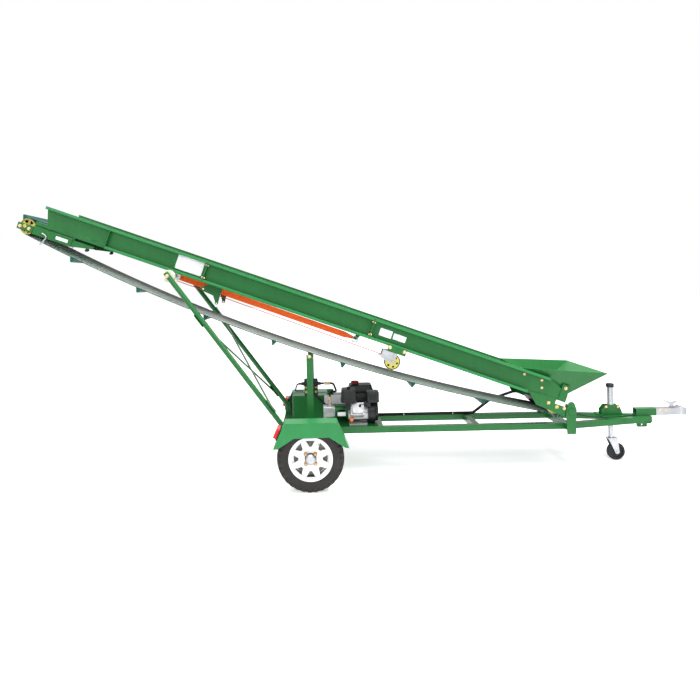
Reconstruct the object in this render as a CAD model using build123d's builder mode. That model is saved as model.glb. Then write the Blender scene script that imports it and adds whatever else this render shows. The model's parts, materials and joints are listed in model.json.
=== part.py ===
import os
from math import atan2, cos, degrees, hypot, pi, radians, sin, sqrt

from build123d import *

# Firewood conveyor on a single-axle trailer, in millimetres.
# +X runs forward to the coupler, +Y to the left side, +Z up, and the ground is z = 0.

# Wheels and axle
tyre_d = 520.0
tyre_w = 122.0
bead_r = 154.0
wheel_y = 600.0
hub_r = 42.0
spindle_r = 16.0
lug_circle_r = 50.8
axle_bar = 50.0
saddle_h = 49.2

# Trailer frame, with stations along X counted from the axle
tube = 50.8
tube_wall = 3.2
rail_y = 190.0
rear_tube_x = -225.0
front_tube_x = 2160.0
tongue_length = 774.6
tongue_end_y = 32.0
draw_tube = 63.5
draw_tube_length = 171.0
coupler_length = 279.0
ball_r = 25.4
outrigger_y = 517.0
post_y = 300.0
post_h = 635.0

# Boom: u runs up the slope from the boom pivot, v stands square to the trough
boom_angle = 20.0
pulley_r = 66.0
tail_u = 122.0
head_u = 4764.0
wall_top_v = 213.0
wall_low_v = 35.0
sheet = 3.0
flange_w = 40.0
belt_half_w = 228.0
belt_side_gap = 72.0
web_y = belt_half_w + belt_side_gap
belt_t = 6.0
return_radius = 15700.0
cleat_count = 16
cleat_h = 38.0
cleat_base = 46.0

# Leg frame that carries the boom on two flanged rollers
leg_y = web_y + 80.0
leg_r = 21.0
shaft_r = 14.0
tread_r = 40.0
roller_flange_r = 52.0

# Jack
jack_r = 25.0
jack_wheel_r = 76.0
caster_trail = 39.0

# Heights
wheel_r = tyre_d / 2
wheel_z = wheel_r
rail_top = wheel_z + axle_bar / 2 + saddle_h + tube
rail_z = rail_top - tube / 2
pivot_z = rail_top + 115.0
leg_pivot_z = rail_top + 65.0
post_top = rail_top + post_h

# Stations from the axle
pivot_x = front_tube_x - 15.0
tongue_start_x = front_tube_x + tube / 2
tongue_end_x = tongue_start_x + tongue_length
draw_tube_x0 = tongue_end_x - 120.0
draw_tube_x1 = draw_tube_x0 + draw_tube_length
coupler_nose_x = draw_tube_x1 + coupler_length
jack_x = tongue_end_x - 333.0

# Stations along the boom
splice_low_u = 0.3724 * head_u
splice_high_u = 0.6765 * head_u
wall_end_u = head_u - 694.0
shaft_u = splice_high_u + 264.0
guide_u = splice_high_u - 93.0
winch_u = splice_low_u - 243.0
anchor_u = splice_low_u + 94.0

# Derived places. The frame's origin is the middle of the footprint.
boom_c = cos(radians(boom_angle))
boom_s = sin(radians(boom_angle))
belt_in_r = pulley_r + 0.3
belt_out_r = belt_in_r + belt_t
rear_reach = pivot_x - boom_c * head_u - belt_out_r
axle_x = -(coupler_nose_x + rear_reach) / 2
hinge_x = axle_x + pivot_x
shaft_v = wall_low_v - tread_r - 0.5

os.makedirs("parts", exist_ok=True)


def save(piece, name):
    piece.part.label = name
    export_step(piece.part, f"parts/{name}.step")


def boom_point(u, v, y=0.0):
    return Vector(hinge_x - boom_c * u + boom_s * v, y, pivot_z + boom_s * u + boom_c * v)


def boom_side(y):
    return Plane(origin=(hinge_x, y, pivot_z), x_dir=(-boom_c, 0, boom_s), z_dir=(0, 1, 0))


def boom_section(u):
    return Plane(origin=boom_point(u, 0), x_dir=(0, -1, 0), z_dir=(-boom_c, 0, boom_s))


def side_view(y):
    return Plane(origin=(axle_x, y, 0), x_dir=(1, 0, 0), z_dir=(0, -1, 0))


def front_view(x, y, z):
    return Plane(origin=(axle_x + x, y, z), x_dir=(0, 1, 0), z_dir=(1, 0, 0))


def pair(inner, outer):
    return (-outer, -inner), (inner, outer)


def cross_rod(place, radius, y0, y1, mode=Mode.ADD):
    across = Plane(origin=(place.X, y0, place.Z), x_dir=(1, 0, 0), z_dir=(0, 1, 0))
    add(Solid.make_cylinder(radius, y1 - y0, across), mode=mode)


def cross_hole(place, radius, y0, y1):
    cross_rod(place, radius, y0, y1, Mode.SUBTRACT)


def bent_strip(points, thick):
    normals = []
    for (x0, z0), (x1, z1) in zip(points, points[1:]):
        run = hypot(x1 - x0, z1 - z0)
        normals.append(((z1 - z0) / run, (x0 - x1) / run))
    under = []
    for k, (x, z) in enumerate(points):
        ax, az = normals[max(k - 1, 0)]
        bx, bz = normals[min(k, len(normals) - 1)]
        share = thick / (1 + ax * bx + az * bz)
        under.append((x + (ax + bx) * share, z + (az + bz) * share))
    return points + under[::-1]


# Trailer frame
rail_x0 = rear_tube_x + tube / 2
rail_x1 = front_tube_x - tube / 2
with BuildPart() as main_rails:
    for y in (-rail_y, rail_y):
        with Locations((axle_x + (rail_x0 + rail_x1) / 2, y, rail_z)):
            Box(rail_x1 - rail_x0, tube, tube)
            Box(rail_x1 - rail_x0 + 2, tube - 2 * tube_wall, tube - 2 * tube_wall, mode=Mode.SUBTRACT)
save(main_rails, "main_rails")

bracket_y = web_y + 15.0
rear_tube_y = leg_y + leg_r + 12.0
cross_tube_stations = (300.0, 560.0, 1400.0)
with BuildPart() as frame_cross_tubes:
    for x, half in ((rear_tube_x, rear_tube_y), (front_tube_x, bracket_y)):
        with Locations((axle_x + x, 0, rail_z)):
            Box(tube, 2 * half, tube)
            Box(tube - 2 * tube_wall, 2 * half + 2, tube - 2 * tube_wall, mode=Mode.SUBTRACT)
    for x in cross_tube_stations:
        with Locations((axle_x + x, 0, rail_z)):
            Box(tube, 2 * rail_y - tube, tube)
save(frame_cross_tubes, "frame_cross_tubes")

outrigger_x = 0.0
plate_t = 6.0
fender_top = tyre_d + 23.0
fender_low = wheel_z + 88.0
with BuildPart() as outriggers:
    for side in (-1, 1):
        with Locations((axle_x + outrigger_x, side * (rail_y + tube / 2 + outrigger_y) / 2, rail_z)):
            Box(tube, outrigger_y - rail_y - tube / 2, tube)
        with BuildSketch(side_view(side * (outrigger_y + plate_t / 2) + plate_t / 2)):
            Polygon((-60, rail_top - tube), (60, rail_top - tube), (150, fender_top - sheet),
                    (-150, fender_top - sheet), align=None)
        extrude(amount=plate_t)
save(outriggers, "outriggers")

with BuildPart() as rest_posts:
    for side in (-1, 1):
        with Locations((axle_x + outrigger_x, side * post_y, (rail_top + post_top) / 2)):
            Box(tube, tube, post_top - rail_top)
            Box(tube - 2 * tube_wall, tube - 2 * tube_wall, post_top - rail_top + 2, mode=Mode.SUBTRACT)
    with Locations((axle_x + outrigger_x, 0, post_top)):
        Box(tube - 2 * tube_wall, 3 * post_y, 24, mode=Mode.SUBTRACT)
save(rest_posts, "rest_posts")

tongue_slope = hypot(tongue_length, rail_y - tongue_end_y) / tongue_length
with BuildPart() as tongue_tubes:
    for side in (-1, 1):
        for size, mode in ((tube, Mode.ADD), (tube - 2 * tube_wall, Mode.SUBTRACT)):
            half = size / 2 * tongue_slope
            with BuildSketch(Plane.XY.offset(rail_z - size / 2)):
                with Locations((axle_x, 0)):
                    Polygon(
                        (tongue_start_x, side * rail_y - half),
                        (tongue_start_x, side * rail_y + half),
                        (tongue_end_x, side * tongue_end_y + half),
                        (tongue_end_x, side * tongue_end_y - half),
                        align=None,
                    )
            extrude(amount=size, mode=mode)
save(tongue_tubes, "tongue_tubes")

with BuildPart() as draw_tube_piece:
    with Locations((axle_x + (draw_tube_x0 + draw_tube_x1) / 2, 0, rail_top + draw_tube / 2)):
        Box(draw_tube_x1 - draw_tube_x0, draw_tube, draw_tube)
        Box(draw_tube_x1 - draw_tube_x0 + 2, draw_tube - 9.6, draw_tube - 9.6, mode=Mode.SUBTRACT)
save(draw_tube_piece, "draw_tube")

# Ball coupler: a pressed channel with a domed nose over its socket and a latch on top
socket_x = coupler_nose_x - 45.0
socket_z = rail_top + 22.0
coupler_low = rail_top + 4.0
coupler_top = rail_top + draw_tube
dome_top = coupler_top + 12.0
latch_x = socket_x - 78.0
with BuildPart() as ball_coupler:
    with BuildSketch(Plane.XY.offset(coupler_low)):
        with Locations((axle_x + (draw_tube_x1 + socket_x) / 2, 0)):
            Rectangle(socket_x - draw_tube_x1, 70)
        with Locations((axle_x + socket_x, 0)):
            Circle(45)
    extrude(amount=dome_top - coupler_low)
    with BuildSketch(side_view(50)):
        with BuildLine():
            Line((draw_tube_x1, coupler_low), (coupler_nose_x, coupler_low))
            Line((coupler_nose_x, coupler_low), (coupler_nose_x, coupler_low + 18))
            ThreePointArc((coupler_nose_x, coupler_low + 18), (socket_x + 24, dome_top - 14),
                          (socket_x - 16, dome_top))
            Polyline((socket_x - 16, dome_top), (socket_x - 50, coupler_top), (draw_tube_x1, coupler_top),
                     (draw_tube_x1, coupler_low))
        make_face()
    extrude(amount=100, mode=Mode.INTERSECT)
    with Locations((axle_x + (draw_tube_x1 + socket_x) / 2 - 20, 0, rail_top + 22)):
        Box(socket_x - draw_tube_x1 - 40, 60, 48, mode=Mode.SUBTRACT)
    with Locations((axle_x + socket_x, 0, socket_z)):
        Sphere(ball_r + 0.6, mode=Mode.SUBTRACT)
        Cylinder(ball_r + 0.6, 60, align=(Align.CENTER, Align.CENTER, Align.MAX), mode=Mode.SUBTRACT)
    with BuildSketch(side_view(7.0)):
        Polygon(
            (latch_x - 22, coupler_top - 4), (latch_x + 22, coupler_top - 4),
            (latch_x + 12, coupler_top + 30),
            (latch_x + 46, coupler_top + 44), (latch_x + 40, coupler_top + 56),
            (latch_x - 6, coupler_top + 44),
            (latch_x - 60, coupler_top + 64), (latch_x - 66, coupler_top + 54),
            (latch_x - 14, coupler_top + 26),
            align=None,
        )
    extrude(amount=14)
save(ball_coupler, "ball_coupler")

chain_hole_r = 8.0
chain_tab_x = 2900.0
chain_tab_low = rail_top - tube - 52
with BuildPart() as chain_tab:
    with BuildSketch(side_view(5.0)):
        with Locations((chain_tab_x, chain_tab_low + 26)):
            RectangleRounded(90, 52, 12)
    extrude(amount=10)
    with BuildSketch(Plane.XY.offset(rail_top - tube - 6)):
        with Locations((axle_x + chain_tab_x, 0)):
            Rectangle(90, 150)
    extrude(amount=6)
    cross_hole(Vector(axle_x + chain_tab_x, 0, chain_tab_low + 20), chain_hole_r, -20, 20)
save(chain_tab, "chain_tab")

# Axle
with BuildPart() as axle_beam:
    with Locations((axle_x, 0, wheel_z)):
        Box(axle_bar, 2 * (wheel_y - 85), axle_bar)
    cross_rod(Vector(axle_x, 0, wheel_z), spindle_r, -wheel_y - 20, wheel_y + 20)
    saddle_low = wheel_z + axle_bar / 2
    saddle_high = rail_top - tube
    with Locations(*[(axle_x, side * rail_y, (saddle_low + saddle_high) / 2) for side in (-1, 1)]):
        Box(90, tube, saddle_high - saddle_low)
save(axle_beam, "axle_beam")

# Wheels
for name, side in (("right", -1), ("left", 1)):
    wheel_plane = Plane(origin=(axle_x, side * wheel_y, wheel_z), x_dir=(1, 0, 0), z_dir=(0, 0, side))
    wheel_axis = Axis((axle_x, 0, wheel_z), (0, 1, 0))
    with BuildPart() as tyre:
        with BuildSketch(wheel_plane):
            with BuildLine():
                tread_half = tyre_w / 2 - 14
                shoulder_r = wheel_r - 18
                bulge_r = (bead_r + 18 + shoulder_r) / 2
                Polyline((bead_r + 18, -48), (bead_r, -42), (bead_r, 42), (bead_r + 18, 48))
                ThreePointArc((bead_r + 18, 48), (bulge_r, tyre_w / 2), (shoulder_r, tread_half))
                ThreePointArc((shoulder_r, tread_half), (wheel_r, 0), (shoulder_r, -tread_half))
                ThreePointArc((shoulder_r, -tread_half), (bulge_r, -tyre_w / 2), (bead_r + 18, -48))
            make_face()
        revolve(axis=wheel_axis)
    save(tyre, f"tyre_{name}")

    with BuildPart() as rim:
        with BuildSketch(wheel_plane):
            Polygon(
                (bead_r + 16, 56), (bead_r + 16, 50), (bead_r - 0.3, 50), (bead_r - 0.3, -50),
                (bead_r + 16, -50), (bead_r + 16, -56), (bead_r - 5, -56), (bead_r - 5, 56),
                align=None,
            )
            Polygon(
                (hub_r + 0.3, 30), (70, 30), (95, 40), (bead_r - 3, 40), (bead_r - 3, 35),
                (97, 35), (72, 25), (hub_r + 0.3, 25),
                align=None,
            )
        revolve(axis=wheel_axis)
        with BuildSketch(Plane(origin=(axle_x, side * wheel_y, wheel_z), x_dir=(1, 0, 0), z_dir=(0, side,
                                                                                                 0))):
            with PolarLocations(0, 8):
                Polygon((93, -9), (93, 9), (139, 36), (139, -36), align=None)
            with PolarLocations(lug_circle_r, 4, start_angle=45):
                Circle(6.6)
        extrude(amount=70, mode=Mode.SUBTRACT)
    save(rim, f"rim_{name}")

    with BuildPart() as hub:
        with BuildSketch(wheel_plane):
            Polygon((0, -60), (32, -60), (32, 19), (64, 19), (64, 24.7), (hub_r - 4, 24.7), (hub_r - 4, 62),
                    (30, 70), (0, 70), align=None)
        revolve(axis=wheel_axis)
        for offset, length, radius in ((-90, 110.2, 0), (24, 30, 6), (30, 15, 10.5)):
            outer_face = Plane(
                origin=(axle_x, side * (wheel_y + offset), wheel_z), x_dir=(1, 0, 0), z_dir=(0, side, 0)
            )
            with BuildSketch(outer_face):
                if radius == 0:
                    Circle(spindle_r + 0.05)
                else:
                    with PolarLocations(lug_circle_r, 4, start_angle=45):
                        RegularPolygon(radius, 6)
            extrude(amount=length, mode=Mode.SUBTRACT if radius == 0 else Mode.ADD)
    save(hub, f"hub_{name}")

# Fenders: a bent sheet over each wheel with a skirt on the outside
fender_in_y = outrigger_y + plate_t
fender_out_y = wheel_y + 80
fender_bends = [(-wheel_r - 23, fender_low), (65 - wheel_r, fender_top), (wheel_r - 53, fender_top),
                (wheel_r + 37, fender_low)]
skirt_bends = [(wheel_r + 6, fender_low + 4), (wheel_r - 114, fender_low + 83),
               (136 - wheel_r, fender_low + 80),
               (13 - wheel_r, fender_low + 2)]
with BuildPart() as fenders:
    for side, (y0, y1) in zip((-1, 1), pair(fender_in_y, fender_out_y)):
        with BuildSketch(side_view(y1)):
            Polygon(*bent_strip(fender_bends, sheet), align=None)
        extrude(amount=y1 - y0)
        with BuildSketch(side_view(y0 + sheet if side < 0 else y1)):
            Polygon(*fender_bends, *skirt_bends, align=None)
        extrude(amount=sheet)
save(fenders, "fenders")

# Tail lamps on the fenders' rear faces
lamp_w, lamp_h = 150.0, 96.0
fender_rise = fender_bends[1][1] - fender_bends[0][1]
fender_run = fender_bends[1][0] - fender_bends[0][0]
fender_slant = hypot(fender_rise, fender_run)
lamp_planes = []
for side in (-1, 1):
    middle = (axle_x + fender_bends[0][0] + fender_run / 2,
              side * (fender_in_y + fender_out_y) / 2 - side * 31,
              fender_low + fender_rise / 2)
    outward = (-fender_rise / fender_slant, 0, fender_run / fender_slant)
    lamp_planes.append(Plane(origin=middle, x_dir=(0, 1, 0), z_dir=outward))

with BuildPart() as lamp_bases:
    for plane in lamp_planes:
        with BuildSketch(plane):
            RectangleRounded(lamp_w, lamp_h, 12)
        extrude(amount=10)
save(lamp_bases, "lamp_bases")

with BuildPart() as tail_lamps:
    for plane in lamp_planes:
        with BuildSketch(plane.offset(10)):
            RectangleRounded(lamp_w - 12, lamp_h - 12, 10)
        extrude(amount=26, taper=8)
save(tail_lamps, "tail_lamps")

# Boom pivot brackets and leg pivot ears on the trailer frame
leg_foot = Vector(axle_x + rear_tube_x, 0, leg_pivot_z)
bracket_t = 8.0
ear_t = 6.0
pivot_pin_r = 15.5
with BuildPart() as frame_ears:
    for y0, y1 in pair(bracket_y, bracket_y + bracket_t):
        with BuildSketch(side_view(y1)):
            with BuildLine():
                Polyline((pivot_x - 36, rail_top - tube - 16), (pivot_x + 34, rail_top - tube - 16),
                         (pivot_x + 40, pivot_z - 16), (pivot_x + 44, pivot_z + 20),
                         (pivot_x + 26, pivot_z + 72))
                ThreePointArc((pivot_x + 26, pivot_z + 72), (pivot_x, pivot_z + 84),
                              (pivot_x - 24, pivot_z + 68))
                Polyline((pivot_x - 24, pivot_z + 68), (pivot_x - 44, pivot_z - 8),
                         (pivot_x - 36, rail_top - tube - 16))
            make_face()
        extrude(amount=bracket_t)
    for y0, y1 in pair(web_y, bracket_y + bracket_t + 9):
        cross_rod(Vector(hinge_x, 0, pivot_z), pivot_pin_r, y0, y1)
    for y0, y1 in pair(bracket_y + bracket_t, bracket_y + bracket_t + 7):
        cross_rod(Vector(hinge_x, 0, pivot_z), 27, y0, y1)
    for gap in (-leg_y, leg_y):
        for y0 in (gap - leg_r - ear_t - 6, gap + leg_r + 6):
            with BuildSketch(side_view(y0 + ear_t)):
                Polygon((rear_tube_x - tube / 2, rail_top), (rear_tube_x + tube / 2, rail_top),
                        (rear_tube_x + 24, leg_pivot_z), (rear_tube_x - 24, leg_pivot_z), align=None)
                with Locations((rear_tube_x, leg_pivot_z)):
                    Circle(24)
            extrude(amount=ear_t)
        cross_rod(leg_foot, 10, gap - 40, gap + 40)
save(frame_ears, "frame_ears")

# Hydraulic tank, control valve, pump and engine
tank_x0, tank_x1 = -170.0, 440.0
tank_y0, tank_y1 = 85.0, 215.0
tank_top = rail_top + 213.0
tank_mid = Vector(axle_x + (tank_x0 + tank_x1) / 2, (tank_y0 + tank_y1) / 2, (rail_top + tank_top) / 2)
filler_x = 172.0
with BuildPart() as oil_tank:
    with Locations(tank_mid):
        Box(tank_x1 - tank_x0, tank_y1 - tank_y0, tank_top - rail_top)
    fillet(oil_tank.edges().filter_by(Axis.Z), 12)
    with Locations(tank_mid):
        Box(tank_x1 - tank_x0 - 16, tank_y1 - tank_y0 - 16, tank_top - rail_top - 8, mode=Mode.SUBTRACT)
    with Locations((axle_x + filler_x, tank_mid.Y, tank_top)):
        for radius, height in ((30, 12), (18, 22), (12, 44)):
            Cylinder(radius, height, align=(Align.CENTER, Align.CENTER, Align.MIN))
    with Locations((axle_x + filler_x, tank_mid.Y, tank_top + 22)):
        Cylinder(30, 20, align=(Align.CENTER, Align.CENTER, Align.MIN))
save(oil_tank, "oil_tank")

valve_x, valve_y = 0.0, 98.0
valve_z = rail_top + 319.0
valve_half = 31.0
with BuildPart() as valve_bracket:
    with BuildSketch(side_view(valve_y + valve_half + 6)):
        with Locations((valve_x, (tank_top + valve_z + 40) / 2)):
            RectangleRounded(122, valve_z + 40 - tank_top, 5)
    extrude(amount=6)
    with Locations((axle_x + valve_x, valve_y + valve_half + 27, tank_top + 3)):
        Box(122, 48, 6)
save(valve_bracket, "valve_bracket")

lever_x = valve_x - 112.0
with BuildPart() as control_valve:
    with Locations((axle_x + valve_x, valve_y, valve_z)):
        Box(96, 2 * valve_half, 52)
        for radius, length in ((20, 132), (14, 172), (9, 224)):
            with Locations(Location((0, 0, 0), (0, 90, 0))):
                Cylinder(radius, length)
        with Locations((18, 0, 34)):
            Cylinder(13, 18)
    with BuildLine():
        grip = FilletPolyline(
            (axle_x + lever_x + 6, valve_y, valve_z), (axle_x + lever_x - 12, valve_y, valve_z - 6),
            (axle_x + lever_x - 32, valve_y, valve_z - 64),
            (axle_x + lever_x + 44, valve_y, valve_z - 64), radius=8)
    with BuildSketch(Plane(origin=grip @ 0, z_dir=grip % 0)):
        Circle(6)
    sweep(path=grip)
save(control_valve, "control_valve")

# Engine: crank along X, cylinder leaning out to the near side, recoil starter at the front end
engine_y = -60.0
crank_z = rail_top + 106.0
base_t = 6.0
base_x, base_length, base_width = 400.0, 420.0, 296.0
case_x0, case_x1 = 320.0, 486.0
cylinder_lean = 25.0
cylinder_x = 393.0
with BuildPart() as engine_base:
    with BuildSketch(Plane.XY.offset(rail_top)):
        with Locations((axle_x + base_x, engine_y - 8)):
            RectangleRounded(base_length, base_width, 10)
    extrude(amount=base_t)
save(engine_base, "engine_base")

cylinder_plane = Plane(
    origin=(axle_x + cylinder_x, engine_y, crank_z - 22), x_dir=(1, 0, 0),
    z_dir=(0, -cos(radians(cylinder_lean)), sin(radians(cylinder_lean))),
)
fin_start, fin_pitch, fin_count = 84.0, 9.0, 6
head_start = fin_start + fin_pitch * fin_count
with BuildPart() as engine_block:
    with BuildSketch(front_view(case_x0, engine_y, crank_z)):
        Circle(80)
        with Locations((0, (rail_top + base_t + 70 - crank_z) / 2 - 10)):
            Rectangle(176, crank_z - rail_top - base_t - 50)
    extrude(amount=case_x1 - case_x0)
    with BuildSketch(Plane.XY.offset(rail_top + base_t)):
        with Locations((axle_x + (case_x0 + case_x1) / 2, engine_y)):
            RectangleRounded(case_x1 - case_x0 - 10, 214, 8)
    extrude(amount=13)
    with BuildSketch(cylinder_plane):
        RectangleRounded(92, 88, 10)
    extrude(amount=head_start)
    for k in range(fin_count):
        with BuildSketch(cylinder_plane.offset(fin_start + k * fin_pitch)):
            RectangleRounded(112, 112, 14)
        extrude(amount=3.5)
    with BuildSketch(cylinder_plane.offset(head_start)):
        RectangleRounded(112, 106, 8)
    extrude(amount=26)
    with BuildSketch(cylinder_plane.offset(head_start + 26)):
        RectangleRounded(104, 98, 10)
    extrude(amount=4)
    with BuildSketch(cylinder_plane.offset(head_start + 30)):
        RectangleRounded(92, 86, 14)
    extrude(amount=26, taper=6)
save(engine_block, "engine_block")

# Carburettor on the pump side of the head, exhaust stub on the starter side
tray_z = rail_top + 217.0
port_y = engine_y - 118.0
port_z = crank_z + 54.0
port_x0, port_x1 = cylinder_x - 56.0, cylinder_x + 56.0
with BuildPart() as air_cleaner:
    with BuildSketch(Plane.XY.offset(tray_z)):
        with Locations((axle_x + 322, port_y - 8)):
            RectangleRounded(134, 156, 26)
    extrude(amount=22)
    with BuildSketch(Plane.XY.offset(tray_z + 22)):
        with Locations((axle_x + 322, port_y - 8)):
            RectangleRounded(128, 150, 26)
    extrude(amount=84, taper=3)
    fillet(air_cleaner.edges().group_by(Axis.Z)[-1], 14)
    with Locations((axle_x + 322, port_y - 8, tray_z + 104)):
        Cylinder(15, 16, align=(Align.CENTER, Align.CENTER, Align.MIN))
    with Locations((axle_x + port_x0 - 23, port_y, (tray_z + port_z - 16) / 2)):
        Box(34, 54, tray_z - port_z + 16)
    with Locations(Location((axle_x + port_x0 - 5, port_y, port_z), (0, 90, 0))):
        Cylinder(13, 10)
save(air_cleaner, "air_cleaner")

muffler_x0, muffler_x1 = 470.0, 576.0
with BuildPart() as muffler:
    with BuildSketch(Plane.XY.offset(tray_z - 8)):
        with Locations((axle_x + (muffler_x0 + muffler_x1) / 2, port_y - 2)):
            RectangleRounded(muffler_x1 - muffler_x0, 116, 18)
    extrude(amount=90)
    fillet(muffler.edges().group_by(Axis.Z)[-1], 12)
    with BuildSketch(side_view(port_y - 55)):
        with Locations(((muffler_x0 + muffler_x1) / 2, tray_z + 38)):
            with GridLocations(0, 13, 1, 4):
                SlotOverall(64, 6)
    extrude(amount=12, mode=Mode.SUBTRACT)
    with Locations((axle_x + port_x1 + 28, port_y, (tray_z + port_z) / 2)):
        Box(56, 44, tray_z - port_z - 10)
save(muffler, "muffler")

starter_x = 547.0
with BuildPart() as engine_fan_housing:
    with BuildSketch(front_view(case_x1, engine_y, crank_z)):
        Circle(112)
        with Locations((24, 60)):
            RectangleRounded(150, 118, 16)
        with Locations((0, rail_top + base_t - crank_z - 60)):
            Rectangle(300, 120, mode=Mode.SUBTRACT)
    extrude(amount=starter_x - case_x1)
    with BuildSketch(front_view(starter_x, engine_y, crank_z)):
        Circle(92)
    extrude(amount=28, taper=16)
    with BuildSketch(front_view(starter_x + 10, engine_y, crank_z)):
        with PolarLocations(58, 14):
            SlotOverall(34, 8)
    extrude(amount=40, mode=Mode.SUBTRACT)
    with BuildSketch(front_view(starter_x + 28, engine_y, crank_z)):
        Circle(30)
    extrude(amount=6)
    with Locations((axle_x + starter_x + 10, engine_y - 92, crank_z + 14)):
        Box(20, 34, 20)
save(engine_fan_housing, "engine_fan_housing")

fuel_z = tray_z + 12.0
with BuildPart() as fuel_tank:
    with BuildSketch(Plane.XY.offset(fuel_z)):
        with Locations((axle_x + 435, engine_y + 80)):
            RectangleRounded(210, 176, 34)
    extrude(amount=44)
    with BuildSketch(Plane.XY.offset(fuel_z + 44)):
        with Locations((axle_x + 435, engine_y + 80)):
            RectangleRounded(220, 186, 36)
    extrude(amount=5)
    with BuildSketch(Plane.XY.offset(fuel_z + 49)):
        with Locations((axle_x + 435, engine_y + 80)):
            RectangleRounded(210, 176, 34)
    extrude(amount=44, taper=12)
    fillet(fuel_tank.edges().group_by(Axis.Z)[-1], 12)
    with Locations((axle_x + 388, engine_y + 70, fuel_z + 90)):
        Cylinder(30, 20, align=(Align.CENTER, Align.CENTER, Align.MIN))
    fan_top = crank_z + 119
    for x in (500, 528):
        with Locations((axle_x + x, engine_y + 24, (fan_top + fuel_z) / 2)):
            Box(12, 40, fuel_z - fan_top)
save(fuel_tank, "fuel_tank")

bell_x0, bell_x1 = 205.0, case_x0
with BuildPart() as bell_housing:
    for x, length, radius in ((bell_x0, 10, 62), (bell_x0, bell_x1 - bell_x0, 52), (bell_x1 - 14, 14, 72)):
        with BuildSketch(front_view(x, engine_y, crank_z)):
            Circle(radius)
        extrude(amount=length)
    with BuildSketch(side_view(engine_y + 30)):
        with Locations(((bell_x0 + bell_x1) / 2, crank_z)):
            SlotOverall(70, 40)
    extrude(amount=120, mode=Mode.SUBTRACT)
save(bell_housing, "bell_housing")

pump_x = 164.0
with BuildPart() as oil_pump:
    for x, length, width, height in ((bell_x0 - 12, 12, 108, 84), (bell_x0 - 70, 58, 84, 96),
                                     (bell_x0 - 98, 28, 90, 102)):
        with BuildSketch(front_view(x, engine_y, crank_z)):
            RectangleRounded(width, height, 16)
        extrude(amount=length)
    with Locations((axle_x + pump_x, engine_y, crank_z + 44)):
        Cylinder(15, 24, align=(Align.CENTER, Align.CENTER, Align.MIN))
    with Locations(Location((axle_x + pump_x, engine_y + 40, crank_z - 11), (-90, 0, 0))):
        Cylinder(17, 22, align=(Align.CENTER, Align.CENTER, Align.MIN))
save(oil_pump, "oil_pump")

# Jack on the tongue
jack_low = rail_top - 65.0
jack_top = rail_top + 282.0
cap_h = 16.0
inner_r = jack_r - 3.6
with BuildPart() as jack_bracket:
    with BuildSketch(Plane.XY.offset(rail_top)):
        with Locations((axle_x + jack_x, 0)):
            Rectangle(176, 250)
            Circle(jack_r + 0.2, mode=Mode.SUBTRACT)
    extrude(amount=8)
    for y0, y1 in pair(jack_r + 0.2, jack_r + 6.2):
        with BuildSketch(side_view(y1)):
            Polygon((jack_x - 88, rail_top + 8), (jack_x + 88, rail_top + 8), (jack_x + 88, rail_top + 34),
                    (jack_x + 62, rail_top + 100), (jack_x - 54, rail_top + 100),
                    (jack_x - 88, rail_top + 60),
                    align=None)
        extrude(amount=6)
save(jack_bracket, "jack_bracket")

with BuildPart() as jack_outer_tube:
    with Locations((axle_x + jack_x, 0, jack_low)):
        Cylinder(jack_r, jack_top - cap_h - jack_low, align=(Align.CENTER, Align.CENTER, Align.MIN))
    with Locations((axle_x + jack_x, 0, jack_top - cap_h)):
        Cylinder(jack_r + 5, cap_h, align=(Align.CENTER, Align.CENTER, Align.MIN))
    fillet(jack_outer_tube.edges().group_by(Axis.Z)[-1], 5)
    with Locations((axle_x + jack_x, 0, jack_low - 1)):
        Cylinder(jack_r - 3, jack_top - cap_h - 9 - jack_low, align=(Align.CENTER, Align.CENTER, Align.MIN),
                 mode=Mode.SUBTRACT)
save(jack_outer_tube, "jack_outer_tube")

fork_top = 2 * jack_wheel_r + 44.0
fork_y = 26.0
fork_t = 5.0
caster = Vector(axle_x + jack_x + caster_trail, 0, jack_wheel_r)
with BuildPart() as jack_inner_tube:
    with Locations((axle_x + jack_x, 0, fork_top)):
        Cylinder(inner_r, jack_low + 176 - fork_top, align=(Align.CENTER, Align.CENTER, Align.MIN))
save(jack_inner_tube, "jack_inner_tube")

with BuildPart() as jack_fork:
    with BuildSketch(Plane.XY.offset(fork_top - 6.3)):
        with Locations((axle_x + jack_x + 4, 0)):
            RectangleRounded(92, 2 * (fork_y + fork_t), 10)
    extrude(amount=6)
    for y0, y1 in pair(fork_y, fork_y + fork_t):
        with BuildSketch(side_view(y1)):
            with BuildLine():
                hub_x = jack_x + caster_trail
                Polyline((hub_x - 18, jack_wheel_r - 4), (jack_x - 34, fork_top - 6),
                         (jack_x + 46, fork_top - 6),
                         (hub_x + 18, jack_wheel_r + 6))
                ThreePointArc((hub_x + 18, jack_wheel_r + 6), (hub_x + 2, jack_wheel_r - 20),
                              (hub_x - 18, jack_wheel_r - 4))
            make_face()
        extrude(amount=fork_t)
    cross_rod(caster, 8, -fork_y - fork_t - 7, fork_y + fork_t + 7)
save(jack_fork, "jack_fork")

with BuildPart() as jack_wheel:
    cross_rod(caster, jack_wheel_r, -20, 20)
    fillet(jack_wheel.edges(), 9)
    for y0, y1 in pair(13, 21):
        cross_hole(caster, jack_wheel_r - 22, y0, y1)
    cross_rod(caster, 17, -24, 24)
    cross_hole(caster, 8.1, -30, 30)
save(jack_wheel, "jack_wheel")

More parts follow.
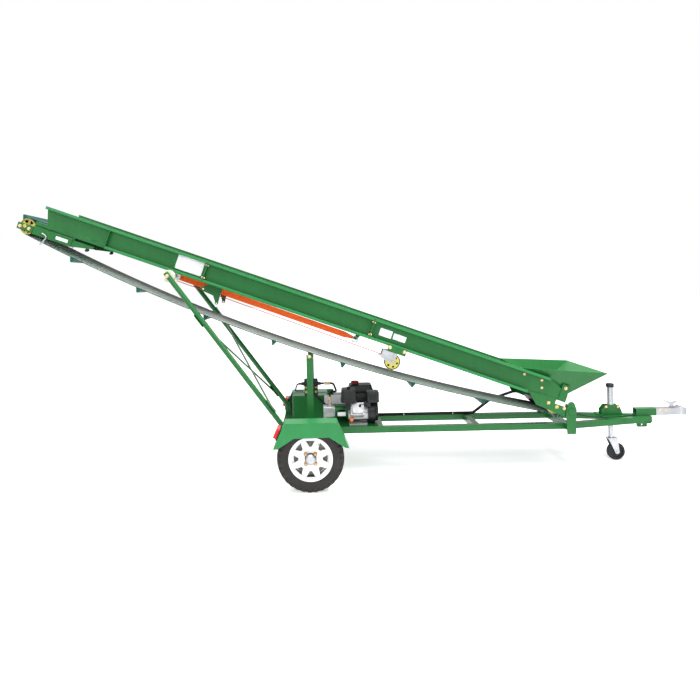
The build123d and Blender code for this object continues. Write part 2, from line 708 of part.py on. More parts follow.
# Trough walls: outward channels in three bolted lengths
wall_start_u = 65.0
splice_t = 5.0
wall_lengths = (
    ("low", wall_start_u, splice_low_u),
    ("mid", splice_low_u, splice_high_u),
    ("high", splice_high_u, wall_end_u),
)
for name, u0, u1 in wall_lengths:
    with BuildPart() as walls:
        with BuildSketch(boom_section(u0)):
            for side in (-1, 1):
                with Locations((side * (web_y + sheet / 2), (wall_top_v + wall_low_v) / 2)):
                    Rectangle(sheet, wall_top_v - wall_low_v)
                for v in (wall_top_v - sheet / 2, wall_low_v + sheet / 2):
                    with Locations((side * (web_y + flange_w / 2), v)):
                        Rectangle(flange_w, sheet)
        extrude(amount=u1 - u0)
        for end in ((u1 - splice_t,) if name == "low" else (u0, u1 - splice_t)):
            with BuildSketch(boom_section(end)):
                for side in (-1, 1):
                    with Locations((side * (web_y + flange_w / 2), (wall_top_v + wall_low_v) / 2)):
                        Rectangle(flange_w, wall_top_v - wall_low_v)
            extrude(amount=splice_t)
        if name == "low":
            with BuildSketch(boom_side(-web_y - 2 * flange_w)):
                Polygon((wall_start_u - 10, 120), (252, wall_top_v + 1),
                        (wall_start_u - 10, wall_top_v + 1), align=None)
            extrude(amount=2 * web_y + 4 * flange_w, mode=Mode.SUBTRACT)
            for y0, y1 in pair(web_y + sheet, web_y + 2 * flange_w):
                with BuildSketch(boom_side(y0)):
                    with Locations((wall_start_u + 165, wall_low_v)):
                        Rectangle(340, 30)
                extrude(amount=y1 - y0, mode=Mode.SUBTRACT)
    save(walls, f"trough_walls_{name}")

hood_end_u = head_u - 135.0
hood_foot_u = head_u - 191.0
pan_v = pulley_r - sheet
with BuildPart() as head_hood:
    for y0, y1 in pair(web_y, web_y + sheet):
        with BuildSketch(boom_side(y0)):
            Polygon((wall_end_u, pan_v + 7), (hood_foot_u - 220, pan_v + 7), (hood_foot_u, pan_v - 30),
                    (hood_end_u, wall_top_v), (wall_end_u, wall_top_v), align=None)
        extrude(amount=y1 - y0)
    for y0, y1 in pair(web_y, web_y + flange_w):
        with BuildSketch(boom_side(y0)):
            Polygon((wall_end_u, wall_top_v - sheet), (hood_end_u - 1, wall_top_v - sheet),
                    (hood_end_u, wall_top_v),
                    (wall_end_u, wall_top_v), align=None)
        extrude(amount=y1 - y0)
save(head_hood, "head_hood")

pan_start_u = tail_u + 83.0
pan_end_u = head_u - 79.0
with BuildPart() as bed_pan:
    with BuildSketch(boom_section(pan_start_u)):
        with Locations((0, pan_v + sheet / 2)):
            Rectangle(2 * web_y, sheet)
        for side in (-1, 1):
            with Locations((side * (web_y - sheet / 2), pan_v - 11)):
                Rectangle(sheet, 28)
    extrude(amount=pan_end_u - pan_start_u)
save(bed_pan, "bed_pan")

# Take-up: sleeves under the head end and the arms that slide in them and hold the head pulley
sleeve_y0, sleeve_y1 = belt_half_w + 24.0, web_y - 3.5
sleeve_u0, sleeve_u1 = head_u - 411.0, head_u - 78.0
sleeve_low_v, sleeve_high_v = -44.0, 22.0
arm_y0, arm_y1 = belt_half_w + 34.0, web_y - 10.0
arm_v0, arm_v1 = -38.0, 16.0
arm_end_u = head_u + 60.0
with BuildPart() as takeup_sleeves:
    for y0, y1 in pair(sleeve_y0, sleeve_y1):
        with BuildSketch(boom_section(sleeve_u0)):
            if y1 > 0:
                Polygon((-y0, pan_v), (-y0, sleeve_low_v), (-y1, sleeve_low_v), (-y1, sleeve_high_v),
                        (-y0 - 22, pan_v), align=None)
            else:
                Polygon((-y1, pan_v), (-y1, sleeve_low_v), (-y0, sleeve_low_v), (-y0, sleeve_high_v),
                        (-y1 + 22, pan_v), align=None)
        extrude(amount=sleeve_u1 - sleeve_u0)
    for y0, y1 in pair(arm_y0 - 0.2, arm_y1 + 0.2):
        with BuildSketch(boom_side(y0)):
            with Locations(((sleeve_u0 + sleeve_u1) / 2, (arm_v0 + arm_v1) / 2)):
                Rectangle(sleeve_u1 - sleeve_u0 + 10, arm_v1 - arm_v0 + 0.4)
        extrude(amount=y1 - y0, mode=Mode.SUBTRACT)
save(takeup_sleeves, "takeup_sleeves")

arm_start_u = sleeve_u0 - 175.0
with BuildPart() as takeup_arms:
    for y0, y1 in pair(arm_y0, arm_y1):
        with BuildSketch(boom_side(y0)):
            Polygon((arm_start_u, arm_v1), (arm_start_u, arm_v1 - 22), (sleeve_u0 - 20, arm_v0),
                    (arm_end_u, arm_v0),
                    (arm_end_u, arm_v1), align=None)
        extrude(amount=y1 - y0)
    for y0, y1 in pair(arm_y1, arm_y1 + 6):
        with BuildSketch(boom_side(y0)):
            with Locations(((sleeve_u1 + 4 + arm_end_u) / 2, (arm_v0 + arm_v1) / 2 + 2)):
                RectangleRounded(arm_end_u - sleeve_u1 - 4, arm_v1 - arm_v0, 5)
        extrude(amount=6)
    cross_hole(boom_point(head_u, 0), 15.2, -web_y, web_y)
save(takeup_arms, "takeup_arms")

# Pulleys with open spoked ends
pulley_half = belt_half_w + 22.0
with BuildPart() as pulleys:
    for u, shaft_half in ((head_u, arm_y1 + 6), (tail_u, web_y + 12)):
        centre = boom_point(u, 0)
        cross_rod(centre, pulley_r, -pulley_half, pulley_half)
        cross_hole(centre, pulley_r - 6, -pulley_half, pulley_half)
        for y0, y1 in pair(pulley_half - 16, pulley_half - 6):
            cross_rod(centre, pulley_r - 5.5, y0, y1)
            with BuildSketch(boom_side(y0)):
                with Locations((u, 0)):
                    with PolarLocations(0, 6):
                        Polygon((30, -6), (30, 6), (pulley_r - 14, 18), (pulley_r - 14, -18), align=None)
            extrude(amount=y1 - y0, mode=Mode.SUBTRACT)
        for y0, y1 in pair(pulley_half - 26, pulley_half):
            cross_rod(centre, 26, y0, y1)
        cross_rod(centre, 15, -shaft_half, shaft_half)
save(pulleys, "pulleys")

# Belt: a straight carrying run, two wraps and a slack return run as one large arc
first_cleat = 0.70
half_span = (head_u - tail_u) / 2
mid_u = (head_u + tail_u) / 2
arc_v = sqrt((return_radius - belt_in_r) ** 2 - half_span**2)
lean = atan2(half_span, arc_v)


def belt_wire(offset):
    r = belt_in_r + offset
    big = return_radius + offset
    head_low = (head_u + r * sin(lean), -r * cos(lean))
    tail_low = (tail_u - r * sin(lean), -r * cos(lean))
    swing = lean / 2
    Line((tail_u, r), (head_u, r))
    ThreePointArc((head_u, r), (head_u + r * cos(swing), r * sin(swing)), head_low)
    ThreePointArc(head_low, (mid_u, arc_v - big), tail_low)
    ThreePointArc(tail_low, (tail_u - r * cos(swing), r * sin(swing)), (tail_u, r))


wrap = (pi - lean) * belt_out_r
run_back = 2 * lean * (return_radius + belt_t)
loop_length = 2 * half_span + 2 * wrap + run_back


def belt_station(distance):
    if distance < 2 * half_span:
        return tail_u + distance, belt_out_r, 0.0
    distance -= 2 * half_span
    if distance < wrap:
        turn = distance / belt_out_r
        return head_u + belt_out_r * sin(turn), belt_out_r * cos(turn), -degrees(turn)
    distance -= wrap
    if distance < run_back:
        turn = lean - distance / (return_radius + belt_t)
        big = return_radius + belt_t
        return mid_u + big * sin(turn), arc_v - big * cos(turn), 180 + degrees(turn)
    turn = lean + (distance - run_back) / belt_out_r
    return tail_u - belt_out_r * sin(turn), -belt_out_r * cos(turn), 180 - degrees(turn)


with BuildPart() as conveyor_belt:
    with BuildSketch(boom_side(-belt_half_w)):
        with BuildLine():
            belt_wire(belt_t)
        make_face()
        with BuildLine():
            belt_wire(0)
        make_face(mode=Mode.SUBTRACT)
        for k in range(cleat_count):
            u, v, turn = belt_station((k + first_cleat) * loop_length / cleat_count)
            with Locations(Location((u, v, 0), (0, 0, turn))):
                Polygon((-cleat_base / 2, -1.5), (cleat_base / 2, -1.5), (5, cleat_h), (-5, cleat_h),
                        align=None)
    extrude(amount=2 * belt_half_w)
save(conveyor_belt, "conveyor_belt")

# Hopper at the tail: two leaning side panels and a sloped front panel
lip_y = web_y + 80.0
hop_back = (487.0, wall_top_v + 0.3)
hop_low = (68.0, 113.0)
hop_tip = (-148.0, 397.0)
panel_lean = (lip_y - web_y + 0.3) / (hop_tip[1] - hop_back[1])
with BuildPart() as hopper_sides:
    for side in (-1, 1):
        rise = sqrt(1 + panel_lean**2)
        up = Vector(boom_s / rise, side * panel_lean / rise, boom_c / rise)
        along = Vector(-boom_c, 0, boom_s)
        panel = Plane(origin=boom_point(0, hop_back[1], side * (web_y - 0.3)), x_dir=along,
                      z_dir=along.cross(up))
        with BuildSketch(panel):
            Polygon(*[(u, (v - hop_back[1]) * rise) for u, v in (hop_back, hop_low, hop_tip)], align=None)
        extrude(amount=-sheet * side)
save(hopper_sides, "hopper_sides")

with BuildPart() as hopper_front:
    run = Vector(hop_tip[0] - hop_low[0], hop_tip[1] - hop_low[1])
    climb = (boom_point(*hop_tip) - boom_point(*hop_low)).normalized()
    low_y = web_y - 0.3 + panel_lean * (hop_low[1] - hop_back[1])
    with BuildSketch(Plane(origin=boom_point(*hop_low), x_dir=(0, 1, 0), z_dir=Vector(0, 1,
                                                                                      0).cross(climb))):
        Polygon((-low_y, 0), (low_y, 0), (lip_y, run.length), (-lip_y, run.length), align=None)
    extrude(amount=sheet)
save(hopper_front, "hopper_front")

# Tail plates carry the boom pivot and the tail pulley, with a strut up to the hopper's side
tail_plate_t = 6.0
strut_u0, strut_u1, strut_top_v = 70.0, 132.0, 196.0
with BuildPart() as tail_plates:
    for y0, y1 in pair(web_y + sheet, web_y + sheet + tail_plate_t):
        with BuildSketch(boom_side(y0)):
            with BuildLine():
                Polyline((-24, 30), (72, 58), (277, 64), (384, 52), (290, -36), (20, -54), (-20, -32))
                ThreePointArc((-20, -32), (-38, -2), (-24, 30))
            make_face()
        extrude(amount=y1 - y0)
    for y0, y1 in pair(web_y + sheet, web_y + sheet + tail_plate_t):
        with BuildSketch(boom_side(y0)):
            with Locations((strut_u0, 40)):
                Rectangle(strut_u1 - strut_u0, strut_top_v - 40, align=Align.MIN)
        extrude(amount=y1 - y0)
    cross_hole(boom_point(0, 0), pivot_pin_r + 0.5, -2 * web_y, 2 * web_y)
    cross_hole(boom_point(tail_u, 0), 15.2, -2 * web_y, 2 * web_y)
save(tail_plates, "tail_plates")

with BuildPart() as belt_motor:
    motor_y = web_y + 12.3
    for radius, y0, y1 in ((52, motor_y, motor_y + 12), (44, motor_y + 12, motor_y + 96),
                           (50, motor_y + 96, motor_y + 126)):
        cross_rod(boom_point(tail_u, 0), radius, y0, y1)
save(belt_motor, "belt_motor")

# Winch under the trough with its cable, the strap's anchor and the cable guide
winch_v = -82.0
drum_r = 24.0
gear_r = 70.0
gear_teeth = 40
mount_y0, mount_y1 = web_y + flange_w, web_y + flange_w + 6
plate_low_v = -12.0
guide_y = 175.0
guide_rod_v = 36.0
with BuildPart() as boom_brackets:
    with BuildSketch(boom_side(-mount_y1)):
        Polygon((winch_u - 86, wall_low_v + 10), (winch_u + 74, wall_low_v + 10),
                (winch_u + 70, plate_low_v + 4),
                (winch_u - 84, plate_low_v + 4), align=None)
    extrude(amount=mount_y1 - mount_y0)
    with BuildSketch(boom_side(-mount_y1)):
        with Locations((winch_u - 6, plate_low_v + 6)):
            Rectangle(156, 4)
    extrude(amount=94)
    with BuildSketch(boom_side(-75)):
        Polygon((anchor_u - 68, pan_v), (anchor_u - 28, pan_v), (anchor_u, -4), (anchor_u, -28),
                (anchor_u - 24, -28),
                align=None)
    extrude(amount=10)
    for y0, y1 in pair(guide_y - 3, guide_y + 3):
        with BuildSketch(boom_side(y0)):
            Polygon((guide_u - 70, pan_v), (guide_u + 60, pan_v), (guide_u + 62, 18), (guide_u + 96, -6),
                    (guide_u + 86, -46), (guide_u - 6, -54), (guide_u - 40, -100), (guide_u - 66, -100),
                    (guide_u - 62, -20), align=None)
            with Locations((guide_u + 92, -26)):
                Circle(20)
            with Locations((guide_u - 54, -104)):
                Circle(14)
        extrude(amount=6)
    cross_hole(boom_point(guide_u + 92, -26), 9, -2 * guide_y, 2 * guide_y)
    cross_hole(boom_point(guide_u - 54, -108), 6, -2 * guide_y, 2 * guide_y)
    cross_rod(boom_point(guide_u, guide_rod_v), 10, -guide_y, guide_y)
    for y0, y1 in pair(100, 130):
        cross_rod(boom_point(guide_u, guide_rod_v), 26, y0, y1)
save(boom_brackets, "boom_brackets")

winch_y0, winch_y1 = web_y - 40.0, web_y + 38.0
with BuildPart() as winch_frame:
    for y0 in (-winch_y1, -winch_y0):
        with BuildSketch(boom_side(y0)):
            Polygon((winch_u - 20, plate_low_v), (winch_u + 102, plate_low_v),
                    (winch_u + 105, plate_low_v - 62),
                    (winch_u + 4, plate_low_v - 92), (winch_u - 18, plate_low_v - 84), align=None)
        extrude(amount=4)
    with BuildSketch(boom_side(-winch_y1)):
        with Locations((winch_u + 41, plate_low_v + 2)):
            Rectangle(122, 4)
    extrude(amount=winch_y1 - winch_y0 + 4)
    cross_hole(boom_point(winch_u, winch_v), 10.2, -2 * web_y, 0)
save(winch_frame, "winch_frame")

with BuildPart() as winch_gear:
    axis_place = boom_point(winch_u, winch_v)
    gear_y = -winch_y1 + 8.0
    with BuildSketch(boom_side(gear_y)):
        with Locations((winch_u, winch_v)):
            Circle(gear_r - 5)
            with PolarLocations(0, gear_teeth):
                Polygon((gear_r - 6, -3), (gear_r - 6, 3), (gear_r, 1.4), (gear_r, -1.4), align=None)
            with PolarLocations(42, 6):
                Circle(9, mode=Mode.SUBTRACT)
    extrude(amount=8)
    cross_rod(axis_place, 10, -winch_y1 - 6, -winch_y0 + 10)
    cross_rod(axis_place, drum_r, gear_y + 8, -winch_y0 - 2)
    cross_rod(axis_place, 42, -winch_y0 - 6, -winch_y0 - 2)
save(winch_gear, "winch_gear")

cable_r = 3.0
sheave_r = 31.0
sheave_y0, sheave_y1 = -122.0, -98.0
with BuildPart() as winch_cable:
    start = boom_point(winch_u, winch_v + drum_r + cable_r + 0.2, (gear_y - winch_y0) / 2)
    end = boom_point(shaft_u, shaft_v - sheave_r - cable_r - 0.5, (sheave_y0 + sheave_y1) / 2)
    with BuildSketch(Plane(origin=start, z_dir=end - start)):
        Circle(cable_r)
    extrude(amount=(end - start).length)
save(winch_cable, "winch_cable")

strap_h = 50.0
strap_end_u = shaft_u - shaft_r - 6
with BuildPart() as safety_strap:
    with BuildSketch(boom_side(-71.5)):
        Polygon((anchor_u, -6), (anchor_u + 90, 10), (strap_end_u, shaft_v + strap_h / 2),
                (strap_end_u, shaft_v - strap_h / 2), (anchor_u + 90, 10 - strap_h), (anchor_u, -26),
                align=None)
    extrude(amount=3)
save(safety_strap, "safety_strap")

# Leg frame
shaft_place = boom_point(shaft_u, shaft_v)
leg_run = shaft_place - leg_foot
leg_length = leg_run.length
leg_dir = leg_run.normalized()
leg_plane = Plane(origin=leg_foot, x_dir=(0, 1, 0), z_dir=Vector(0, 1, 0).cross(leg_dir))
with BuildPart() as leg_tubes:
    for side in (-1, 1):
        with BuildSketch(Plane(origin=leg_foot + Vector(0, side * leg_y, 0) - leg_dir * 20, z_dir=leg_dir)):
            Circle(leg_r)
        extrude(amount=leg_length + 20 + 32)
    cross_hole(leg_foot, 10.3, -2 * leg_y, 2 * leg_y)
    cross_hole(shaft_place, shaft_r + 0.2, -2 * leg_y, 2 * leg_y)
save(leg_tubes, "leg_tubes")

brace_low, brace_high = 190.0, leg_length - 440.0
brace_w, brace_t = 38.0, 6.0
with BuildPart() as leg_braces:
    for side, z0 in ((1, leg_r), (-1, -leg_r - brace_t)):
        with BuildSketch(leg_plane.offset(z0)):
            span = hypot(2 * leg_y, brace_high - brace_low)
            tilt = degrees(atan2(brace_high - brace_low, 2 * leg_y)) * side
            with Locations(Location((0, (brace_low + brace_high) / 2, 0), (0, 0, tilt))):
                Rectangle(span, brace_w)
            for end, place in ((-1, brace_low), (1, brace_high)):
                with Locations((side * end * leg_y, place)):
                    RectangleRounded(2 * leg_r + 6, 120, 8)
        extrude(amount=brace_t)
save(leg_braces, "leg_braces")

with BuildPart() as leg_shaft:
    cross_rod(shaft_place, shaft_r, -leg_y - 30, leg_y + 30)
    for y0, y1 in ((-web_y, -web_y + 120), (60, 180), (web_y - 60, web_y)):
        cross_rod(shaft_place, 19, y0, y1)
save(leg_shaft, "leg_shaft")

roller_y0, roller_y1, flange_y1 = web_y + 4, web_y + 45, web_y + 56
with BuildPart() as leg_rollers:
    for y0, y1 in pair(roller_y0, roller_y1):
        cross_rod(shaft_place, tread_r, y0, y1)
    for y0, y1 in pair(roller_y1, flange_y1):
        cross_rod(shaft_place, roller_flange_r, y0, y1)
    for y0, y1, radius in ((sheave_y0, sheave_y0 + 5, sheave_r + 7), (sheave_y0, sheave_y1, sheave_r),
                           (sheave_y1 - 5, sheave_y1, sheave_r + 7)):
        cross_rod(shaft_place, radius, y0, y1)
    cross_hole(shaft_place, shaft_r + 0.1, -2 * leg_y, 2 * leg_y)
save(leg_rollers, "leg_rollers")

# Hoses
hose_r = 9.0
with BuildPart() as hydraulic_hoses:
    pump_place = Vector(axle_x + pump_x, engine_y, crank_z)
    valve_place = Vector(axle_x + valve_x, valve_y, valve_z)
    runs = (
        (valve_place + (112, 0, 0), valve_place + (200, 0, 0), valve_place + (225, -70, -60),
         pump_place + (0, 0, 165), pump_place + (0, 0, 68)),
        (valve_place + (0, 0, -26), valve_place + (0, 0, -64), valve_place + (60, -58, -114),
         (pump_place.X, valve_y - 28, crank_z - 11), pump_place + (0, 62, -11)),
    )
    for run in runs:
        with BuildLine():
            path = FilletPolyline(*run, radius=30)
        with BuildSketch(Plane(origin=path @ 0, z_dir=path % 0)):
            Circle(hose_r)
        sweep(path=path)
save(hydraulic_hoses, "hydraulic_hoses")

with BuildPart() as motor_hoses:
    motor_place = boom_point(tail_u, 0)
    hose_z = rail_top + hose_r + 0.2
    for y_rail, y_motor in ((178, motor_y + 36), (200, motor_y + 62)):
        with BuildLine():
            path = FilletPolyline(
                (axle_x + tank_x1 + 5, y_rail, hose_z), (motor_place.X - 560, y_rail, hose_z),
                (motor_place.X - 350, y_motor, hose_z + 80), (motor_place.X - 140, y_motor, motor_place.Z),
                (motor_place.X - 44.1, y_motor, motor_place.Z), radius=40)
        with BuildSketch(Plane(origin=path @ 0, z_dir=path % 0)):
            Circle(hose_r)
        sweep(path=path)
save(motor_hoses, "motor_hoses")
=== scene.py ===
import json
import math

import bpy
from mathutils import Matrix, Vector


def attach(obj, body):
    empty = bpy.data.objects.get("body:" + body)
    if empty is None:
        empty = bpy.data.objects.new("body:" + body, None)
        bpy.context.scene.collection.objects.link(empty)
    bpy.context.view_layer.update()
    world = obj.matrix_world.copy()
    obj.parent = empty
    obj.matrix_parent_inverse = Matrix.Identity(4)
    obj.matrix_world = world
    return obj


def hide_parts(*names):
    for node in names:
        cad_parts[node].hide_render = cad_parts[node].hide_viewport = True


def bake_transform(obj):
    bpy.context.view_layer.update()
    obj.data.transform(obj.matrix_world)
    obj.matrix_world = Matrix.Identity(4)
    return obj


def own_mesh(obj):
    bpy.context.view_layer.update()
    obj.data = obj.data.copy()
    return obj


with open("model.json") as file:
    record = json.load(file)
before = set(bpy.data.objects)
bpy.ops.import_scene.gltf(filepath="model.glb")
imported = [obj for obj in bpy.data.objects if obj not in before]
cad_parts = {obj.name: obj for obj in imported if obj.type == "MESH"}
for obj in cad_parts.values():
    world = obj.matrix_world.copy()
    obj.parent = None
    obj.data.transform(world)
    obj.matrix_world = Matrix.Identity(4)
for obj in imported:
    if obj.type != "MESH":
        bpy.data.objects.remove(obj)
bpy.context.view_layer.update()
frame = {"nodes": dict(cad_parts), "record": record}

print("stage: frame loaded")

# places on the boom and the trailer, plates and lips are in millimetres, all other sizes in metres
slope = math.radians(20.0)
upSlope = Vector((-math.cos(slope), 0, math.sin(slope)))
offTrough = Vector((math.sin(slope), 0, math.cos(slope)))
hinge = Vector((1.702, 0, 0.5))
axleX = -0.443
axleZ = 0.26
forward = Vector((1, 0, 0))
nearSide = Vector((0, -1, 0))
farSide = Vector((0, 1, 0))
skyward = Vector((0, 0, 1))
wheelSides = ((-1, "right"), (1, "left"))


def onBoom(u, v, y):
    return hinge + upSlope * (u / 1000) + offTrough * (v / 1000) + Vector((0, y / 1000, 0))


def onTrailer(x, y, z):
    return Vector((axleX + x / 1000, y / 1000, z / 1000))


def onAxle(y):
    return Vector((axleX, y, axleZ))


def rgb(red, green, blue):
    def linear(level):
        level = level / 255.0
        return level / 12.92 if level <= 0.04045 else ((level + 0.055) / 1.055) ** 2.4
    return (linear(red), linear(green), linear(blue), 1.0)


def scaled(colour, factor):
    return (colour[0] * factor, colour[1] * factor, colour[2] * factor, 1.0)


class Wire:
    def __init__(self, tree, socket=None):
        self.tree = tree
        self.socket = socket

    def node(self, kind, settings, values, output=0):
        made = self.tree.nodes.new(kind)
        for name, value in settings.items():
            setattr(made, name, value)
        for name, value in values.items():
            if isinstance(value, Wire):
                self.tree.links.new(value.socket, made.inputs[name])
            else:
                made.inputs[name].default_value = value
        return Wire(self.tree, made.outputs[output])

    def maths(self, operation, first, second):
        return self.node("ShaderNodeMath", {"operation": operation}, {0: first, 1: second})

    def __add__(self, other):
        return self.maths("ADD", self, other)

    def __radd__(self, other):
        return self.maths("ADD", other, self)

    def __sub__(self, other):
        return self.maths("SUBTRACT", self, other)

    def __rsub__(self, other):
        return self.maths("SUBTRACT", other, self)

    def __mul__(self, other):
        return self.maths("MULTIPLY", self, other)

    def __rmul__(self, other):
        return self.maths("MULTIPLY", other, self)

    def between(self, low, high):
        settings = {"interpolation_type": "SMOOTHSTEP"}
        return self.node("ShaderNodeMapRange", settings, {0: self, 1: low, 2: high})

    def tint(self, dark, light):
        return self.node("ShaderNodeMix", {"data_type": "RGBA"}, {0: self, 6: dark, 7: light}, 2)

    def noise(self, scale, detail, roughness=0.5):
        values = {"Vector": self, "Scale": scale, "Detail": detail, "Roughness": roughness}
        return self.node("ShaderNodeTexNoise", {}, values)

    def stretched(self, x, y, z):
        return self.node("ShaderNodeVectorMath", {"operation": "MULTIPLY"}, {0: self, 1: (x, y, z)})

    def axis(self, letter):
        return self.node("ShaderNodeSeparateXYZ", {}, {0: self}, letter)

    def along(self, direction):
        values = {0: self, 1: tuple(direction)}
        return self.node("ShaderNodeVectorMath", {"operation": "DOT_PRODUCT"}, values, "Value")

    def bump(self, strength, distance=0.001):
        values = {"Height": self, "Strength": strength, "Distance": distance}
        return self.node("ShaderNodeBump", {}, values)


class Look:
    def __init__(self, name, **constants):
        self.material = bpy.data.materials.new(name)
        self.material.use_nodes = True
        self.tree = self.material.node_tree
        self.shader = self.tree.nodes["Principled BSDF"]
        self.place = self.coordinates("Object")
        self.feed(**constants)

    def coordinates(self, kind):
        return Wire(self.tree).node("ShaderNodeTexCoord", {}, {}, kind)

    def feed(self, **inputs):
        for name, value in inputs.items():
            socket = self.shader.inputs[name.replace("_", " ")]
            if isinstance(value, Wire):
                self.tree.links.new(value.socket, socket)
            else:
                socket.default_value = value


def paintLook(name, colour, roughness=0.34):
    look = Look(name, Coat_Roughness=0.25, Specular_IOR_Level=0.22)
    cloud = look.place.noise(scale=3.0, detail=5.0, roughness=0.6)
    speck = look.place.noise(scale=420.0, detail=2.0)
    streak = look.place.stretched(18.0, 18.0, 2.0).noise(scale=1.6, detail=4.0)
    tone = cloud * 0.6 + streak * 0.4
    look.feed(
        Base_Color=tone.between(0.3, 0.7).tint(scaled(colour, 0.9), scaled(colour, 1.08)),
        Roughness=roughness + (tone - 0.5) * 0.16,
        Coat_Weight=0.12 - cloud * 0.08,
        Normal=(speck + cloud * 0.5).bump(strength=0.06, distance=0.002),
    )
    return look.material


def platedLook(name, colour):
    look = Look(name, Metallic=1.0)
    spangle = look.place.noise(scale=55.0, detail=4.0, roughness=0.6)
    haze = look.place.noise(scale=9.0, detail=4.0)
    tone = spangle * 0.45 + haze * 0.55
    look.feed(
        Base_Color=tone.between(0.3, 0.72).tint(scaled(colour, 0.74), scaled(colour, 1.06)),
        Roughness=0.36 + (haze - 0.4) * 0.3,
        Normal=spangle.bump(strength=0.05),
    )
    return look.material


def castLook(name, colour, metallic=0.7, roughness=0.5):
    look = Look(name, Metallic=metallic)
    grit = look.place.noise(scale=260.0, detail=3.0, roughness=0.65)
    stain = look.place.noise(scale=14.0, detail=5.0)
    look.feed(
        Base_Color=stain.between(0.32, 0.7).tint(scaled(colour, 0.7), scaled(colour, 1.05)),
        Roughness=roughness + (stain - 0.5) * 0.25,
        Normal=grit.bump(strength=0.2),
    )
    return look.material


def mouldedLook(name, colour, roughness=0.45):
    look = Look(name, Specular_IOR_Level=0.25)
    pores = look.place.noise(scale=300.0, detail=2.0)
    wear = look.place.noise(scale=12.0, detail=4.0)
    look.feed(
        Base_Color=wear.between(0.35, 0.75).tint(colour, scaled(colour, 1.6)),
        Roughness=roughness + (wear - 0.5) * 0.2,
        Normal=pores.bump(strength=0.12),
    )
    return look.material


# white outside, with painted shade in the well behind the spokes: a dark grey there
rimWellShade = {"wellSquared": 0.372, "faceSquared": 0.392, "wellShadeGrey": rgb(92, 88, 86)}


def rimLook(name, colour):
    look = Look(name, Specular_IOR_Level=0.3)
    cloud = look.place.noise(scale=9.0, detail=4.0)
    away = look.place.axis("Y")
    outer = (away * away).between(rimWellShade["wellSquared"], rimWellShade["faceSquared"])
    face = cloud.between(0.3, 0.7).tint(scaled(colour, 0.94), colour)
    look.feed(
        # painted shade: the rim's well inside the spokes is darkened to grey
        Base_Color=outer.tint(rimWellShade["wellShadeGrey"], face),
        Roughness=0.36 + (cloud - 0.5) * 0.12,
        Normal=cloud.bump(strength=0.04),
    )
    return look.material


# plated end discs, black lagging round the drum
pulleyFinish = {"lagging": rgb(28, 28, 29), "dullPlate": rgb(150, 138, 66), "brightPlate": rgb(196, 184, 96)}


def pulleyLook(name):
    look = Look(name, Metallic=0.6)
    sideways = look.coordinates("Normal").axis("Y")
    ends = (sideways * sideways).between(0.3, 0.6)
    haze = look.place.noise(scale=18.0, detail=4.0)
    plate = haze.between(0.3, 0.7).tint(pulleyFinish["dullPlate"], pulleyFinish["brightPlate"])
    look.feed(
        Base_Color=ends.tint(pulleyFinish["lagging"], plate),
        Roughness=0.42 + (haze - 0.5) * 0.2,
    )
    return look.material


# grey fabric inside the loop, darkened by painted shade towards the far edge where the trough shades it,
# dark green rubber outside it and on its edges and cleats
beltTonesAndShade = {
    "shadedFarFabric": rgb(52, 56, 58), "nearFabric": rgb(250, 252, 252), "farY": 0.2, "nearY": -0.12,
    "darkRubber": rgb(16, 62, 54), "lightRubber": rgb(28, 84, 74),
    "insideFrom": -0.004, "insideFull": -0.012,
}


def beltLook(name):
    look = Look(name, Specular_IOR_Level=0.2)
    overHinge = look.place.along(offTrough) - offTrough.dot(hinge)
    tilt = look.coordinates("Normal").along(offTrough)
    inside = (tilt * overHinge).between(beltTonesAndShade["insideFrom"], beltTonesAndShade["insideFull"])
    weave = look.place.noise(scale=260.0, detail=2.0)
    dust = look.place.noise(scale=6.0, detail=5.0, roughness=0.65)
    # painted shade: the fabric is dark at the far edge and pale at the near edge, a noise wobbling the
    # boundary
    edge = (look.place.axis("Y") + (dust - 0.5) * 0.08).between(beltTonesAndShade["farY"], beltTonesAndShade["nearY"])
    fabric = edge.tint(beltTonesAndShade["shadedFarFabric"], beltTonesAndShade["nearFabric"])
    rubber = dust.between(0.3, 0.7).tint(beltTonesAndShade["darkRubber"], beltTonesAndShade["lightRubber"])
    look.feed(
        Base_Color=inside.tint(rubber, fabric),
        Roughness=0.55 + (dust - 0.5) * 0.3,
        Normal=weave.bump(strength=0.04),
    )
    return look.material


# sewn band with close ribs and faint stains
def webbingLook(name, colour):
    look = Look(name)
    rib = look.place.stretched(520.0, 40.0, 520.0).noise(scale=1.0, detail=1.0)
    stain = look.place.noise(scale=16.0, detail=4.0)
    tone = (rib * 0.5 + stain * 0.5).between(0.3, 0.7)
    look.feed(
        Base_Color=tone.tint(scaled(colour, 0.82), scaled(colour, 1.06)),
        Roughness=0.72 + (stain - 0.5) * 0.2,
        Normal=rib.bump(strength=0.25),
    )
    return look.material


